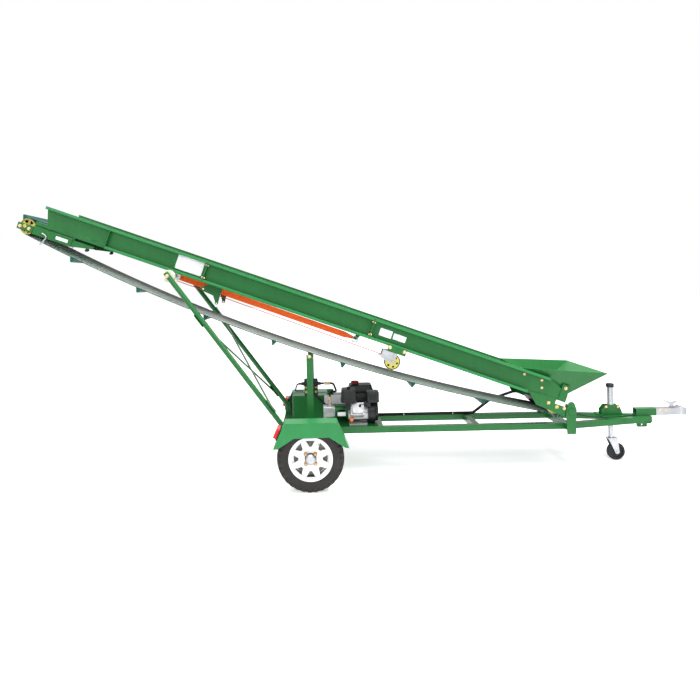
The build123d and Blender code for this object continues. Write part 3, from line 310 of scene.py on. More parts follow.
looks = {
    "green_paint": paintLook("greenPaint", rgb(28, 94, 43)),
    "fender_paint": paintLook("fenderPaint", rgb(36, 118, 62)),
    "zinc_plate": platedLook("zincPlate", rgb(178, 180, 184)),
    "yellow_zinc": platedLook("yellowZinc", rgb(196, 188, 96)),
    "bolt_zinc": platedLook("boltZinc", rgb(226, 190, 150)),
    "red_lens": mouldedLook("redLens", rgb(186, 26, 14), roughness=0.2),
    "black_paint": paintLook("blackPaint", rgb(28, 29, 31), roughness=0.4),
    "engine_alloy": castLook("engineAlloy", rgb(188, 190, 190)),
    "black_plastic": mouldedLook("blackPlastic", rgb(24, 24, 26)),
    "black_rubber": mouldedLook("blackRubber", rgb(22, 22, 23), roughness=0.55),
    "tyre": mouldedLook("tyreRubber", rgb(37, 35, 34), roughness=0.72),
    "white_paint": rimLook("whitePaint", rgb(220, 222, 224)),
    "plate_white": paintLook("plateWhite", rgb(222, 222, 224), roughness=0.45),
    "belt_rubber": beltLook("beltRubber"),
    "red_rope": mouldedLook("redRope", rgb(190, 58, 54), roughness=0.7),
    "orange_webbing": webbingLook("orangeWebbing", rgb(255, 98, 16)),
    "cap_orange": mouldedLook("capOrange", rgb(240, 120, 30), roughness=0.4),
    "nut_gold": platedLook("nutGold", rgb(178, 140, 70)),
    "drum_grey": castLook("drumGrey", rgb(150, 142, 134), metallic=0.2, roughness=0.7),
    "cap_red": mouldedLook("capRed", rgb(120, 22, 30), roughness=0.4),
    "white_nylon": mouldedLook("whiteNylon", rgb(196, 196, 180), roughness=0.4),
}


def giveLook(piece, look):
    piece.data.materials.clear()
    piece.data.materials.append(look)


for entry in frame["record"]["subparts"]:
    giveLook(frame["nodes"][entry["node"]], looks[entry["material_slot"]])
giveLook(frame["nodes"]["pulleys"], pulleyLook("pulleyPlate"))
print("stage: materials given")


def deselect():
    if bpy.context.mode != "OBJECT":
        bpy.ops.object.mode_set(mode="OBJECT")
    bpy.ops.object.select_all(action="DESELECT")


def pick(*pieces):
    deselect()
    for piece in pieces:
        piece.select_set(True)
    bpy.context.view_layer.objects.active = pieces[0]


def applyPlace():
    bpy.ops.object.transform_apply(location=True, rotation=True, scale=True)


def added(name):
    piece = bpy.context.object
    piece.name = name
    applyPlace()
    return piece


# selects the faces or edges that pass a test of their middle and their normal or run
def choose(piece, kind, test):
    bpy.ops.object.mode_set(mode="EDIT")
    bpy.ops.mesh.select_mode(type=kind)
    bpy.ops.mesh.select_all(action="DESELECT")
    bpy.ops.object.mode_set(mode="OBJECT")
    mesh = piece.data
    if kind == "FACE":
        for face in mesh.polygons:
            face.select = test(face.center, face.normal)
    else:
        for edge in mesh.edges:
            first, second = [mesh.vertices[end].co for end in edge.vertices]
            edge.select = test((first + second) / 2, second - first)
    bpy.ops.object.mode_set(mode="EDIT")


# which of the equal sectors about local Z a face lies in
def sector(centre, segments):
    return int((math.atan2(centre.y, centre.x) % (2 * math.pi)) / (2 * math.pi / segments))


# a ring extruded and resized from one (radius, height) to the next, as on a lathe, about local Z
def turned(name, stations, segments, closed=False):
    deselect()
    startRadius, startHeight = stations[0]
    bpy.ops.mesh.primitive_circle_add(vertices=segments, radius=startRadius, location=(0, 0, startHeight))
    piece = added(name)
    bpy.ops.object.mode_set(mode="EDIT")
    bpy.ops.mesh.select_mode(type="EDGE")
    bpy.ops.mesh.select_all(action="SELECT")
    for (radius, height), (nextRadius, nextHeight) in zip(stations, stations[1:]):
        bpy.ops.mesh.extrude_region_move(TRANSFORM_OT_translate={"value": (0, 0, nextHeight - height)})
        ratio = nextRadius / radius
        bpy.ops.transform.resize(value=(ratio, ratio, 1), center_override=(0, 0, nextHeight))
    bpy.ops.mesh.select_all(action="SELECT")
    if closed:
        bpy.ops.mesh.remove_doubles(threshold=0.00005)
    else:
        bpy.ops.mesh.fill_holes(sides=0)
    bpy.ops.mesh.select_all(action="SELECT")
    bpy.ops.mesh.normals_make_consistent(inside=False)
    bpy.ops.object.mode_set(mode="OBJECT")
    return piece


# a box to be shaped, centred on the origin or standing on it
def block(name, size, standing=False):
    deselect()
    bpy.ops.mesh.primitive_cube_add(size=1.0, location=(0, 0, 0.5 if standing else 0.0))
    piece = added(name)
    pick(piece)
    bpy.ops.transform.resize(value=size, center_override=(0, 0, 0))
    applyPlace()
    return piece


# a round rod or wire, curved through a few points or straight between close ones
def bentRod(name, points, diameter, curved=True):
    deselect()
    line = bpy.data.curves.new(name, "CURVE")
    line.dimensions = "3D"
    line.bevel_depth = diameter / 2
    line.bevel_resolution = 3
    line.use_fill_caps = True
    line.resolution_u = 6
    if curved:
        spline = line.splines.new("BEZIER")
        spline.bezier_points.add(len(points) - 1)
        for spot, place in zip(spline.bezier_points, points):
            spot.co = place
            spot.handle_left_type = spot.handle_right_type = "AUTO"
    else:
        spline = line.splines.new("POLY")
        spline.points.add(len(points) - 1)
        for spot, place in zip(spline.points, points):
            spot.co = (*place, 1.0)
    rod = bpy.data.objects.new(name, line)
    bpy.context.scene.collection.objects.link(rod)
    pick(rod)
    bpy.ops.object.convert(target="MESH")
    return bpy.context.object


# local Z along a direction
def facing(place, direction, roll=0.0):
    turn = direction.to_track_quat("Z", "X").to_matrix().to_4x4()
    return Matrix.Translation(place) @ turn @ Matrix.Rotation(roll, 4, "Z")


# local X across and local Y up a sheet
def sheetFrame(place, across, up):
    turn = Matrix((across, up, across.cross(up))).transposed().to_4x4()
    return Matrix.Translation(place) @ turn


def joined(name, pieces):
    pick(*pieces)
    if len(pieces) > 1:
        bpy.ops.object.join()
    pieces[0].name = name
    return pieces[0]


def copied(name, model, places):
    twins = []
    for place in places:
        twin = model.copy()
        twin.data = model.data.copy()
        bpy.context.scene.collection.objects.link(twin)
        twin.matrix_world = place
        twins.append(twin)
    pick(*twins)
    bpy.context.view_layer.update()
    applyPlace()
    return joined(name, twins)


def dressed(piece, look, angle):
    pick(piece)
    applyPlace()
    bpy.ops.object.shade_smooth_by_angle(angle=math.radians(angle))
    giveLook(piece, look)
    return piece


def settled(piece, body, slotName, look=None, angle=35.0):
    dressed(piece, look or looks[slotName], angle)
    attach(piece, body)
    return piece


def dropModel(model):
    bpy.data.objects.remove(model)


# road tyres: carcass turned in one, then grooves pressed between the shoulder lugs and across the ribs
roadTyre = {
    "radius": 0.2598, "bead": 0.1545, "halfWidth": 0.0605, "middleY": 0.6,
    "segments": 64, "grooveDepth": 0.006,
    "shoulderFrom": 0.029, "shoulderDrop": 0.024, "lugEvery": 2, "lugBorder": 0.0022,
    "ribFrom": 0.006, "ribTo": 0.0198, "ribDrop": 0.003, "slotEvery": 4, "slotBorder": 0.004,
}


def tyreModel():
    top, half, bead = roadTyre["radius"], roadTyre["halfWidth"], roadTyre["bead"]
    low = top - roadTyre["grooveDepth"]
    rightHalf = [
        (low, 0.004), (top, 0.0055), (top - 0.0003, 0.020), (low, 0.0215), (low, 0.0275),
        (top - 0.0012, roadTyre["shoulderFrom"]), (top - 0.004, 0.046), (top - 0.013, half - 0.005),
        (top - 0.034, half - 0.001), (top - 0.060, half), (top - 0.082, half - 0.004),
        (bead + 0.010, half - 0.009), (bead, half - 0.015),
    ]
    leftHalf = [(radius, -height) for radius, height in rightHalf]
    stations = list(reversed(leftHalf)) + rightHalf + [leftHalf[-1]]
    model = turned("tyreModel", stations, roadTyre["segments"], closed=True)

    def shoulder(centre, normal):
        return (sector(centre, roadTyre["segments"]) % roadTyre["lugEvery"] == 0
                and roadTyre["shoulderFrom"] < abs(centre.z) < half - 0.001
                and math.hypot(centre.x, centre.y) > top - roadTyre["shoulderDrop"])

    def midRib(centre, normal):
        return (sector(centre, roadTyre["segments"]) % roadTyre["slotEvery"] == 1
                and roadTyre["ribFrom"] < abs(centre.z) < roadTyre["ribTo"]
                and math.hypot(centre.x, centre.y) > top - roadTyre["ribDrop"])

    choose(model, "FACE", shoulder)
    bpy.ops.mesh.inset(thickness=roadTyre["lugBorder"], depth=-roadTyre["grooveDepth"], use_individual=False)
    choose(model, "FACE", midRib)
    bpy.ops.mesh.inset(thickness=roadTyre["slotBorder"], depth=-roadTyre["grooveDepth"], use_individual=True)
    deselect()
    return model


tyre = tyreModel()
for side, name in wheelSides:
    node = "tyre_" + name
    place = facing(onAxle(side * roadTyre["middleY"]), Vector((0, side, 0)))
    tread = settled(copied("treaded" + name + "Tyre", tyre, [place]), "wheel_" + name, "tyre", angle=28)
    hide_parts(node)
dropModel(tyre)

# rubber valve stems through the rims
valveStem = {"length": 0.034, "radius": 0.0052, "neck": 0.0036, "cap": 0.0044,
             "circle": 0.118, "face": 0.610, "clock": (0.5, 0.866), "lean": (0.1, 0.2)}
stem = turned("stemModel", [
    (valveStem["radius"], 0), (valveStem["radius"], 0.018), (valveStem["neck"], 0.020),
    (valveStem["neck"], 0.026), (valveStem["cap"], 0.0265), (valveStem["cap"], valveStem["length"] - 0.002),
    (0.0032, valveStem["length"]),
], 10)
for side, name in wheelSides:
    forwards, upwards = [share * valveStem["circle"] for share in valveStem["clock"]]
    spot = onAxle(side * valveStem["face"]) + Vector((forwards, 0, upwards))
    lean = Vector((valveStem["lean"][0], side, valveStem["lean"][1]))
    settled(copied(name + "ValveStem", stem, [facing(spot, lean)]), "wheel_" + name, "black_rubber")
dropModel(stem)
print("stage: tyres treaded")

# hex bolt with washer, one metre of head radius so that copies take their size
hexBolt = {"height": 0.8, "chamfer": 0.16, "dishBorder": 0.2, "dish": 0.03,
           "washer": 1.32, "washerDepth": 0.2, "washerEdge": 0.06, "rollPerMetre": 7.0, "angle": 25}


def boltModel():
    seat = hexBolt["washerDepth"]
    deselect()
    bpy.ops.mesh.primitive_cylinder_add(vertices=6, radius=1.0, depth=hexBolt["height"],
                                        location=(0, 0, seat + hexBolt["height"] / 2))
    head = added("boltHead")
    choose(head, "FACE", lambda centre, normal: normal.z > 0.9)
    bpy.ops.mesh.inset(thickness=hexBolt["chamfer"], depth=hexBolt["chamfer"] * 0.7)
    bpy.ops.mesh.inset(thickness=hexBolt["dishBorder"], depth=-hexBolt["dish"])
    deselect()
    bpy.ops.mesh.primitive_cylinder_add(vertices=14, radius=hexBolt["washer"], depth=seat,
                                        location=(0, 0, seat / 2))
    washer = added("boltWasher")
    choose(washer, "FACE", lambda centre, normal: normal.z > 0.9)
    bpy.ops.mesh.inset(thickness=hexBolt["washerEdge"], depth=hexBolt["washerEdge"] / 2)
    deselect()
    return joined("boltModel", [head, washer])


bolt = boltModel()


def boltAt(place, direction, radius):
    return facing(place, direction, place.x * hexBolt["rollPerMetre"]) @ Matrix.Scale(radius, 4)


# the same bolts on the near and the far side
def bothSides(group, onBody):
    places = []
    for along, up in group["spots"]:
        places.append(boltAt(onBody(along, up, -group["face"]), nearSide, group["head"]))
        places.append(boltAt(onBody(along, up, group["face"]), farSide, group["head"]))
    return places


def fitBolts(name, places, body, look="bolt_zinc"):
    settled(copied(name, bolt, places), body, "yellow_zinc", looks[look], hexBolt["angle"])


boomBolts = {
    "web": {"face": 303, "head": 0.0085, "spots": ((459, 172), (308, 170), (288, 111))},
    "tailPlate": {"face": 309, "head": 0.011, "spots": ((198, 12), (60, 10), (101, 170))},
    "takeUpClevis": {"face": 296.2, "head": 0.011, "spots": ((4800, -12), (4722, -11))},
}
spliceBolts = {"stations": (1774.1, 3222.8), "heights": (71.0, 178.0), "y": 322, "halfGrip": 5,
               "head": 0.0095}
winchBolts = {"stations": (1588, 1463), "v": 26, "y": -346, "head": 0.011}
boomPlaces = []
for group in boomBolts.values():
    boomPlaces += bothSides(group, onBoom)
for u in spliceBolts["stations"]:
    for v in spliceBolts["heights"]:
        for y in (-spliceBolts["y"], spliceBolts["y"]):
            for way in (1, -1):
                spot = onBoom(u + way * spliceBolts["halfGrip"], v, y)
                boomPlaces.append(boltAt(spot, upSlope * way, spliceBolts["head"]))
for u in winchBolts["stations"]:
    boomPlaces.append(boltAt(onBoom(u, winchBolts["v"], winchBolts["y"]), nearSide, winchBolts["head"]))
fitBolts("boomBolts", boomPlaces, "boom")

frameBolts = {
    "post": {"face": 325.5, "head": 0.011, "spots": ((0, 1002), (0, 470))},
    "jackBracket": {"face": 31.3, "head": 0.009, "spots": ((2574, 470), (2681, 470))},
    "coupler": {"face": 35, "head": 0.009, "spots": ((3040, 436), (3100, 436))},
}
bracketBolts = {"y": 128.9, "head": 0.009, "spots": ((-44, 666), (44, 666), (-44, 622), (44, 622))}
framePlaces = []
for group in frameBolts.values():
    framePlaces += bothSides(group, lambda x, z, y: onTrailer(x, y, z))
for x, z in bracketBolts["spots"]:
    framePlaces.append(boltAt(onTrailer(x, bracketBolts["y"], z), nearSide, bracketBolts["head"]))
fitBolts("frameBolts", framePlaces, "trailer")

# wheel nuts, the dark seat round the hub and the drum seen through the windows
wheelTrim = {
    "nuts": 4, "firstNut": 45, "nutCircle": 0.0508, "nutRadius": 0.0125, "nutFace": 0.636,
    "seatIn": 0.0383, "seatOut": 0.044, "seatFace": 0.6302,
    "drumIn": 0.068, "drumOut": 0.132, "drumDepth": 0.030, "drumFace": 0.602,
}
drumIn, drumOut, drumDepth = wheelTrim["drumIn"], wheelTrim["drumOut"], wheelTrim["drumDepth"]
drumModel = turned("drumModel", [
    (drumIn, 0.0), (drumOut, 0.0), (drumOut, -0.004), (drumOut - 0.008, -drumDepth), (drumIn, -drumDepth),
    (drumIn, 0.0),
], 40, closed=True)
seatIn, seatOut = wheelTrim["seatIn"], wheelTrim["seatOut"]
seatModel = turned("seatModel", [
    (seatIn, 0.0), (seatOut, 0.0), (seatOut, 0.004), (seatIn, 0.006), (seatIn, 0.0),
], 32, closed=True)
for side, name in wheelSides:
    body = "wheel_" + name
    outwards = Vector((0, side, 0))
    nutPlaces = []
    for turn in range(wheelTrim["nuts"]):
        angle = math.radians(wheelTrim["firstNut"] + 360 / wheelTrim["nuts"] * turn)
        offset = Vector((math.cos(angle), 0, math.sin(angle))) * wheelTrim["nutCircle"]
        spot = onAxle(side * wheelTrim["nutFace"]) + offset
        nutPlaces.append(boltAt(spot, outwards, wheelTrim["nutRadius"]))
    fitBolts(name + "WheelNuts", nutPlaces, body, "nut_gold")
    seatPlace = facing(onAxle(side * wheelTrim["seatFace"]), outwards)
    settled(copied(name + "HubSeat", seatModel, [seatPlace]), body, "black_paint")
    drumPlace = facing(onAxle(side * wheelTrim["drumFace"]), outwards)
    settled(copied(name + "BrakeDrum", drumModel, [drumPlace]), body, "engine_alloy", looks["drum_grey"])
dropModel(drumModel)
dropModel(seatModel)

legEndBolts = {"face": 410, "head": 0.012, "spots": ((3486.85, -5.5),)}
fitBolts("legEndBolts", bothSides(legEndBolts, onBoom), "legs")
print("stage: bolts fitted")

# blank plates, each a rounded thin sheet, bare of any words: place, width and height
blankPlates = {
    "boom": ((3364, 132, -303, 226, 122), (1652, 121, -303, 106, 63), (1531, 119, -303, 108, 50),
             (104, 40, -309, 84, 34), (4437, -9, -296.5, 104, 26)),
    "trailer": ((215, 84.9, 560, 196, 84), (262, -132.6, 480, 70, 34)),
    "thickness": 0.0009, "cornerShare": 0.09, "borderShare": 0.05,
}


def plateModel(width, height):
    plate = block("plateModel", (width, height, blankPlates["thickness"]), standing=True)
    choose(plate, "EDGE", lambda middle, run: abs(run.z) > 0.9 * run.length)
    bpy.ops.mesh.bevel(offset=min(width, height) * blankPlates["cornerShare"], segments=3)
    choose(plate, "FACE", lambda centre, normal: normal.z > 0.9)
    bpy.ops.mesh.inset(thickness=min(width, height) * blankPlates["borderShare"])
    deselect()
    return plate


def fitPlates(name, body, onBody, across, up):
    sheets = []
    for *spot, width, height in blankPlates[body]:
        model = plateModel(width / 1000, height / 1000)
        sheets.append(copied("plate", model, [sheetFrame(onBody(*spot), across, up)]))
        dropModel(model)
    settled(joined(name, sheets), body, "white_paint", looks["plate_white"])


fitPlates("boomBlankPlates", "boom", onBoom, -upSlope, offTrough)
fitPlates("trailerBlankPlates", "trailer", onTrailer, forward, skyward)
print("stage: blank plates fitted")

# lips turned in from the trough's flanges, in lengths between the splices
troughLip = {
    "height": 20.0, "sheet": 3.0, "edge": 340.0, "underTop": 210.0, "overLow": 38.0, "rounding": 1.2,
    "topRuns": ((254, 1769), (1779.2, 3217.7), (3227.9, 4064.9), (4070.2, 4625.0)),
    "lowRuns": ((402, 1769), (1779.2, 3217.7), (3227.9, 4064.9)),
}


def lipModel(length):
    size = (length / 1000, troughLip["height"] / 1000, troughLip["sheet"] / 1000)
    lip = block("lipModel", size, standing=True)
    choose(lip, "EDGE", lambda middle, run: abs(run.x) > 0.9 * run.length and middle.z > size[2] / 2)
    bpy.ops.mesh.bevel(offset=troughLip["rounding"] / 1000, segments=3)
    deselect()
    return lip


lips = []
lipInside = troughLip["edge"] - troughLip["sheet"]
for runs, middleV in ((troughLip["topRuns"], troughLip["underTop"] - troughLip["height"] / 2),
                      (troughLip["lowRuns"], troughLip["overLow"] + troughLip["height"] / 2)):
    for low, high in runs:
        model = lipModel(high - low)
        middleU = (low + high) / 2
        nearPlace = sheetFrame(onBoom(middleU, middleV, -lipInside), -upSlope, offTrough)
        farPlace = sheetFrame(onBoom(middleU, middleV, lipInside), upSlope, offTrough)
        lips.append(copied("lip", model, [nearPlace, farPlace]))
        dropModel(model)
# the lips are given the lighter fender green as a painted highlight, for the light their outward faces catch
settled(joined("troughLips", lips), "boom", "green_paint", looks["fender_paint"])


# engine trim: a screw cap with finger grooves pressed into its side
def grippedCap(name, outline, shape):
    segments = shape["grips"] * shape["facesPerGrip"]
    low, high = shape["grooved"]
    cap = turned(name, outline, segments)
    choose(cap, "FACE", lambda centre, normal: abs(normal.z) < 0.2 and low < centre.z < high
           and sector(centre, segments) % shape["facesPerGrip"] == 0)
    bpy.ops.mesh.inset(thickness=shape["grooveBorder"], depth=-shape["grooveDepth"], use_individual=True)
    deselect()
    return cap


oilCap = {"radius": 0.015, "neck": 0.010, "length": 0.026, "grips": 9, "facesPerGrip": 4,
          "grooved": (0.008, 0.02), "grooveBorder": 0.0003, "grooveDepth": 0.0016,
          "place": (345, -148, 432), "lean": (0, -1, 0.25)}
oilCapModel = grippedCap("oilCap", [
    (oilCap["neck"], 0), (oilCap["neck"], 0.006), (oilCap["radius"], 0.007), (oilCap["radius"], 0.020),
    (0.012, 0.024), (0.006, oilCap["length"]),
], oilCap)
oilCapPlace = facing(onTrailer(*oilCap["place"]), Vector(oilCap["lean"]))
settled(copied("engineOilCap", oilCapModel, [oilCapPlace]), "trailer", "orange_webbing", looks["cap_orange"])
dropModel(oilCapModel)

fuelCap = {"radius": 0.034, "height": 0.024, "grips": 12, "facesPerGrip": 3, "grooved": (0.004, 0.016),
           "grooveBorder": 0.0006, "grooveDepth": 0.003, "place": (388, 10, 713)}
fuelCapModel = grippedCap("fuelCap", [
    (0.030, 0), (fuelCap["radius"], 0.002), (fuelCap["radius"], 0.018), (0.029, 0.022),
    (0.014, fuelCap["height"]), (0.008, 0.0235),
], fuelCap)
fuelCapPlace = facing(onTrailer(*fuelCap["place"]), skyward)
settled(copied("engineFuelCap", fuelCapModel, [fuelCapPlace]), "trailer", "red_lens", looks["cap_red"])
dropModel(fuelCapModel)


# a rounded block with a tapered boss drawn out of its near or far side
def bossedBlock(name, shape):
    way = math.copysign(1, shape["boss"])
    piece = block(name, shape["size"])
    choose(piece, "FACE", lambda centre, normal: normal.y * way > 0.9)
    bpy.ops.mesh.inset(thickness=shape["border"])
    bpy.ops.mesh.extrude_region_move(TRANSFORM_OT_translate={"value": (0, shape["boss"], 0)})
    bpy.ops.transform.resize(value=shape["taper"], center_override=(0, 0, 0))
    choose(piece, "EDGE", lambda middle, run: middle.y < shape["roundedTo"])
    bpy.ops.mesh.bevel(offset=shape["rounding"], segments=shape["steps"])
    deselect()
    piece.location = onTrailer(*shape["place"])
    settled(piece, "trailer", "black_plastic")


starterGrip = {"size": (0.016, 0.022, 0.062), "border": 0.005, "boss": 0.012, "taper": (0.8, 1, 0.35),
               "roundedTo": 0.012, "rounding": 0.004, "steps": 3, "place": (557, -184, 505)}
bossedBlock("starterGrip", starterGrip)

sparkLead = {
    "diameter": 0.007, "boot": 0.011, "mouth": 0.007,
    "bootPlace": (412, -216, 556), "bootLean": (0.1, -0.75, 0.65),
    "stops": ((415, -245, 582), (430, -262, 590), (452, -250, 572), (480, -180, 552), (492, -150, 545)),
}
bootModel = turned("plugBoot", [
    (sparkLead["mouth"], 0), (sparkLead["boot"], 0.004), (sparkLead["boot"], 0.026),
    (sparkLead["mouth"], 0.034), (0.0045, 0.040),
], 14)
bootPlace = facing(onTrailer(*sparkLead["bootPlace"]), Vector(sparkLead["bootLean"]))
boot = copied("sparkBoot", bootModel, [bootPlace])
lead = bentRod("sparkLead", [onTrailer(*stop) for stop in sparkLead["stops"]], sparkLead["diameter"])
settled(joined("sparkPlugLead", [boot, lead]), "trailer", "black_rubber")
dropModel(bootModel)

coolingShroud = {"size": (0.176, 0.060, 0.150), "border": 0.012, "boss": -0.012, "taper": (0.9, 1, 0.86),
                 "roundedTo": 0.02, "rounding": 0.004, "steps": 2, "place": (430, -70, 572)}
bossedBlock("coolingShroud", coolingShroud)

# bolts at the corners of the valve cover, which leans with the cylinder
coverBolts = {"lean": math.radians(25), "root": (393, -60, 469), "reach": 0.168, "halfWidth": 0.048,
              "halfHeight": 0.045, "head": 0.006}
coverAxis = Vector((0, -math.cos(coverBolts["lean"]), math.sin(coverBolts["lean"])))
coverUp = Vector((0, math.sin(coverBolts["lean"]), math.cos(coverBolts["lean"])))
coverMiddle = onTrailer(*coverBolts["root"]) + coverAxis * coverBolts["reach"]
coverPlaces = []
for across in (-coverBolts["halfWidth"], coverBolts["halfWidth"]):
    for up in (-coverBolts["halfHeight"], coverBolts["halfHeight"]):
        spot = coverMiddle + forward * across + coverUp * up
        coverPlaces.append(boltAt(spot, coverAxis, coverBolts["head"]))
settled(copied("valveCoverBolts", bolt, coverPlaces), "trailer", "zinc_plate")
dropModel(bolt)
print("stage: engine trimmed")

# take-up: locking rod and its knob at the head, on both sides
lockRod = {"diameter": 0.012, "y": 303.0,
           "path": ((4604, -12), (4580, -18), (4564, -30), (4570, -60), (4592, -108))}
rods = []
for side in (-1, 1):
    points = [onBoom(u, v, side * lockRod["y"]) for u, v in lockRod["path"]]
    rods.append(bentRod("rod", points, lockRod["diameter"]))
settled(joined("takeUpLockRods", rods), "boom", "zinc_plate")
lockKnob = {"radius": 0.017, "belly": 1.04, "neck": 0.007, "length": 0.034,
            "place": (4230, -8), "y": 276, "lean": 0.6}
knobRadius, knobNeck = lockKnob["radius"], lockKnob["neck"]
knob = turned("knobModel", [
    (knobNeck, 0), (knobNeck, 0.012), (knobRadius, 0.014), (knobRadius * lockKnob["belly"], 0.022),
    (knobRadius, 0.030), (0.008, lockKnob["length"]),
], 18)
knobDirection = (-offTrough - upSlope * lockKnob["lean"]).normalized()
knobPlaces = [facing(onBoom(*lockKnob["place"], side * lockKnob["y"]), knobDirection) for side in (-1, 1)]
settled(copied("takeUpKnobs", knob, knobPlaces), "boom", "black_plastic")
dropModel(knob)

# winch: pawl on the side plate, rope turns on the drum, dark rim of the gear and the drum's flange behind it
winchAxle = (1531.1, -82)
winchPawl = {"size": (0.052, 0.016, 0.005), "nose": (0.02, -0.012, 0), "taper": (1, 0.4, 1),
             "rounding": 0.0025, "place": (1636, -60, -341)}
pawl = block("winchPawl", winchPawl["size"])
choose(pawl, "FACE", lambda centre, normal: normal.x > 0.9)
bpy.ops.mesh.extrude_region_move(TRANSFORM_OT_translate={"value": winchPawl["nose"]})
noseMiddle = (winchPawl["size"][0] / 2 + winchPawl["nose"][0], winchPawl["nose"][1], 0)
bpy.ops.transform.resize(value=winchPawl["taper"], center_override=noseMiddle)
choose(pawl, "EDGE", lambda middle, run: abs(run.z) > 0.9 * run.length)
bpy.ops.mesh.bevel(offset=winchPawl["rounding"], segments=2)
deselect()
pawl.matrix_world = sheetFrame(onBoom(*winchPawl["place"]), -upSlope, offTrough)
settled(pawl, "boom", "zinc_plate")

ropeTurns = {"drum": 0.0275, "rope": 0.006, "turns": 7, "firstY": -318.0, "pitch": 6.2, "lean": 0.04}
deselect()
bpy.ops.mesh.primitive_torus_add(major_radius=ropeTurns["drum"], minor_radius=ropeTurns["rope"] / 2,
                                 major_segments=28, minor_segments=6)
ropeTurn = added("ropeTurn")
turnPlaces = []
for turn in range(ropeTurns["turns"]):
    spot = onBoom(*winchAxle, ropeTurns["firstY"] + ropeTurns["pitch"] * turn)
    turnPlaces.append(facing(spot, Vector((ropeTurns["lean"], 1, 0))))
settled(copied("winchRopeTurns", ropeTurn, turnPlaces), "boom", "red_rope", angle=60)
dropModel(ropeTurn)

gearRim = {"outer": 0.0655, "inner": 0.0575, "back": -0.0006, "front": 0.0086, "y": -330}
rim = turned("gearRim", [
    (gearRim["outer"], gearRim["back"]), (gearRim["outer"], gearRim["front"]),
    (gearRim["inner"], gearRim["front"]), (gearRim["inner"], gearRim["back"]),
    (gearRim["outer"], gearRim["back"]),
], 48, closed=True)
rim.matrix_world = facing(onBoom(*winchAxle, gearRim["y"]), farSide)
settled(rim, "boom", "black_paint")

drumFlange = {"bore": 0.012, "outer": 0.056, "boss": 0.026, "sheet": 0.004, "height": 0.006, "y": -321.6}
flange = turned("drumFlange", [
    (drumFlange["bore"], 0.0), (drumFlange["outer"] - 0.002, 0.0), (drumFlange["outer"], 0.001),
    (drumFlange["outer"], 0.003), (drumFlange["outer"] - 0.002, drumFlange["sheet"]),
    (drumFlange["boss"], drumFlange["sheet"]), (drumFlange["boss"], drumFlange["height"]),
    (drumFlange["bore"], drumFlange["height"]), (drumFlange["bore"], 0.0),
], 36, closed=True)
flange.matrix_world = facing(onBoom(*winchAxle, drumFlange["y"]), farSide)
settled(flange, "boom", "black_paint")


# a copy of a CAD node with its loose triangles merged
def merged(node, name):
    source = frame["nodes"][node]
    twin = source.copy()
    twin.data = source.data.copy()
    twin.name = name
    twin.parent = None
    bpy.context.scene.collection.objects.link(twin)
    pick(twin)
    bpy.ops.object.mode_set(mode="EDIT")
    bpy.ops.mesh.select_all(action="SELECT")
    bpy.ops.mesh.remove_doubles(threshold=0.00002)
    bpy.ops.mesh.normals_make_consistent(inside=False)
    bpy.ops.object.mode_set(mode="OBJECT")
    return twin


# strap and winch rope, merged from their CAD nodes, ride on the boom
strap = settled(merged("safety_strap", "strapWebbing"), "boom", "orange_webbing")
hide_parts("safety_strap")
tuple(onBoom(1868, -16, -70))
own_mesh(strap)
rope = settled(merged("winch_cable", "winchRope"), "boom", "red_rope", angle=60)
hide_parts("winch_cable")
tuple(onBoom(1531, -55, -290))
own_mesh(rope)

# strap shackle on its anchor
shackleRing = {"inner": 0.020, "outer": 0.028, "half": 0.004, "chamfer": 0.002, "place": (1858, -26, -81)}
inward = shackleRing["inner"] + shackleRing["chamfer"]
outward = shackleRing["outer"] - shackleRing["chamfer"]
half = shackleRing["half"]
ring = turned("shackleRing", [
    (inward, -half), (outward, -half), (shackleRing["outer"], 0), (outward, half), (inward, half),
    (shackleRing["inner"], 0), (inward, -half),
], 24, closed=True)
ring.matrix_world = facing(onBoom(*shackleRing["place"]), nearSide)
settled(ring, "boom", "zinc_plate")

# hoses to the belt motor, merged from their CAD node, run between the trailer and the boom
motorHoses = dressed(merged("motor_hoses", "motorHoseRun"), looks["black_rubber"], angle=60)
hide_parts("motor_hoses")
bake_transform(motorHoses)

# crimped hose ends
hoseEnd = {
    "mouth": 0.011, "sleeve": 0.0125, "waist": 0.0105, "stub": 0.0095, "length": 0.062, "motorBack": 0.106,
    "down": ((164, -60, 615),), "back": ((175, 98, 704),), "up": ((0, 98, 620),),
    "rail": ((500, 178, 394.2), (500, 200, 394.2)), "motor": ((122, 0, 348.3), (122, 0, 374.3)),
}
sleeve, waist, stub = hoseEnd["sleeve"], hoseEnd["waist"], hoseEnd["stub"]
endModel = turned("hoseEnd", [
    (hoseEnd["mouth"], 0), (sleeve, 0.003), (sleeve, 0.030), (waist, 0.033), (waist, 0.036), (sleeve, 0.037),
    (sleeve, 0.050), (stub, 0.053), (stub, hoseEnd["length"]),
], 18)
endPlaces = []
for run, direction in (("down", -skyward), ("back", -forward), ("up", skyward), ("rail", -forward)):
    endPlaces += [facing(onTrailer(*spot), direction) for spot in hoseEnd[run]]
settled(copied("hoseEnds", endModel, endPlaces), "trailer", "yellow_zinc", looks["bolt_zinc"])
motorEnds = [facing(onBoom(*spot) - forward * hoseEnd["motorBack"], forward) for spot in hoseEnd["motor"]]
settled(copied("motorHoseEnds", endModel, motorEnds), "boom", "yellow_zinc", looks["bolt_zinc"])
dropModel(endModel)

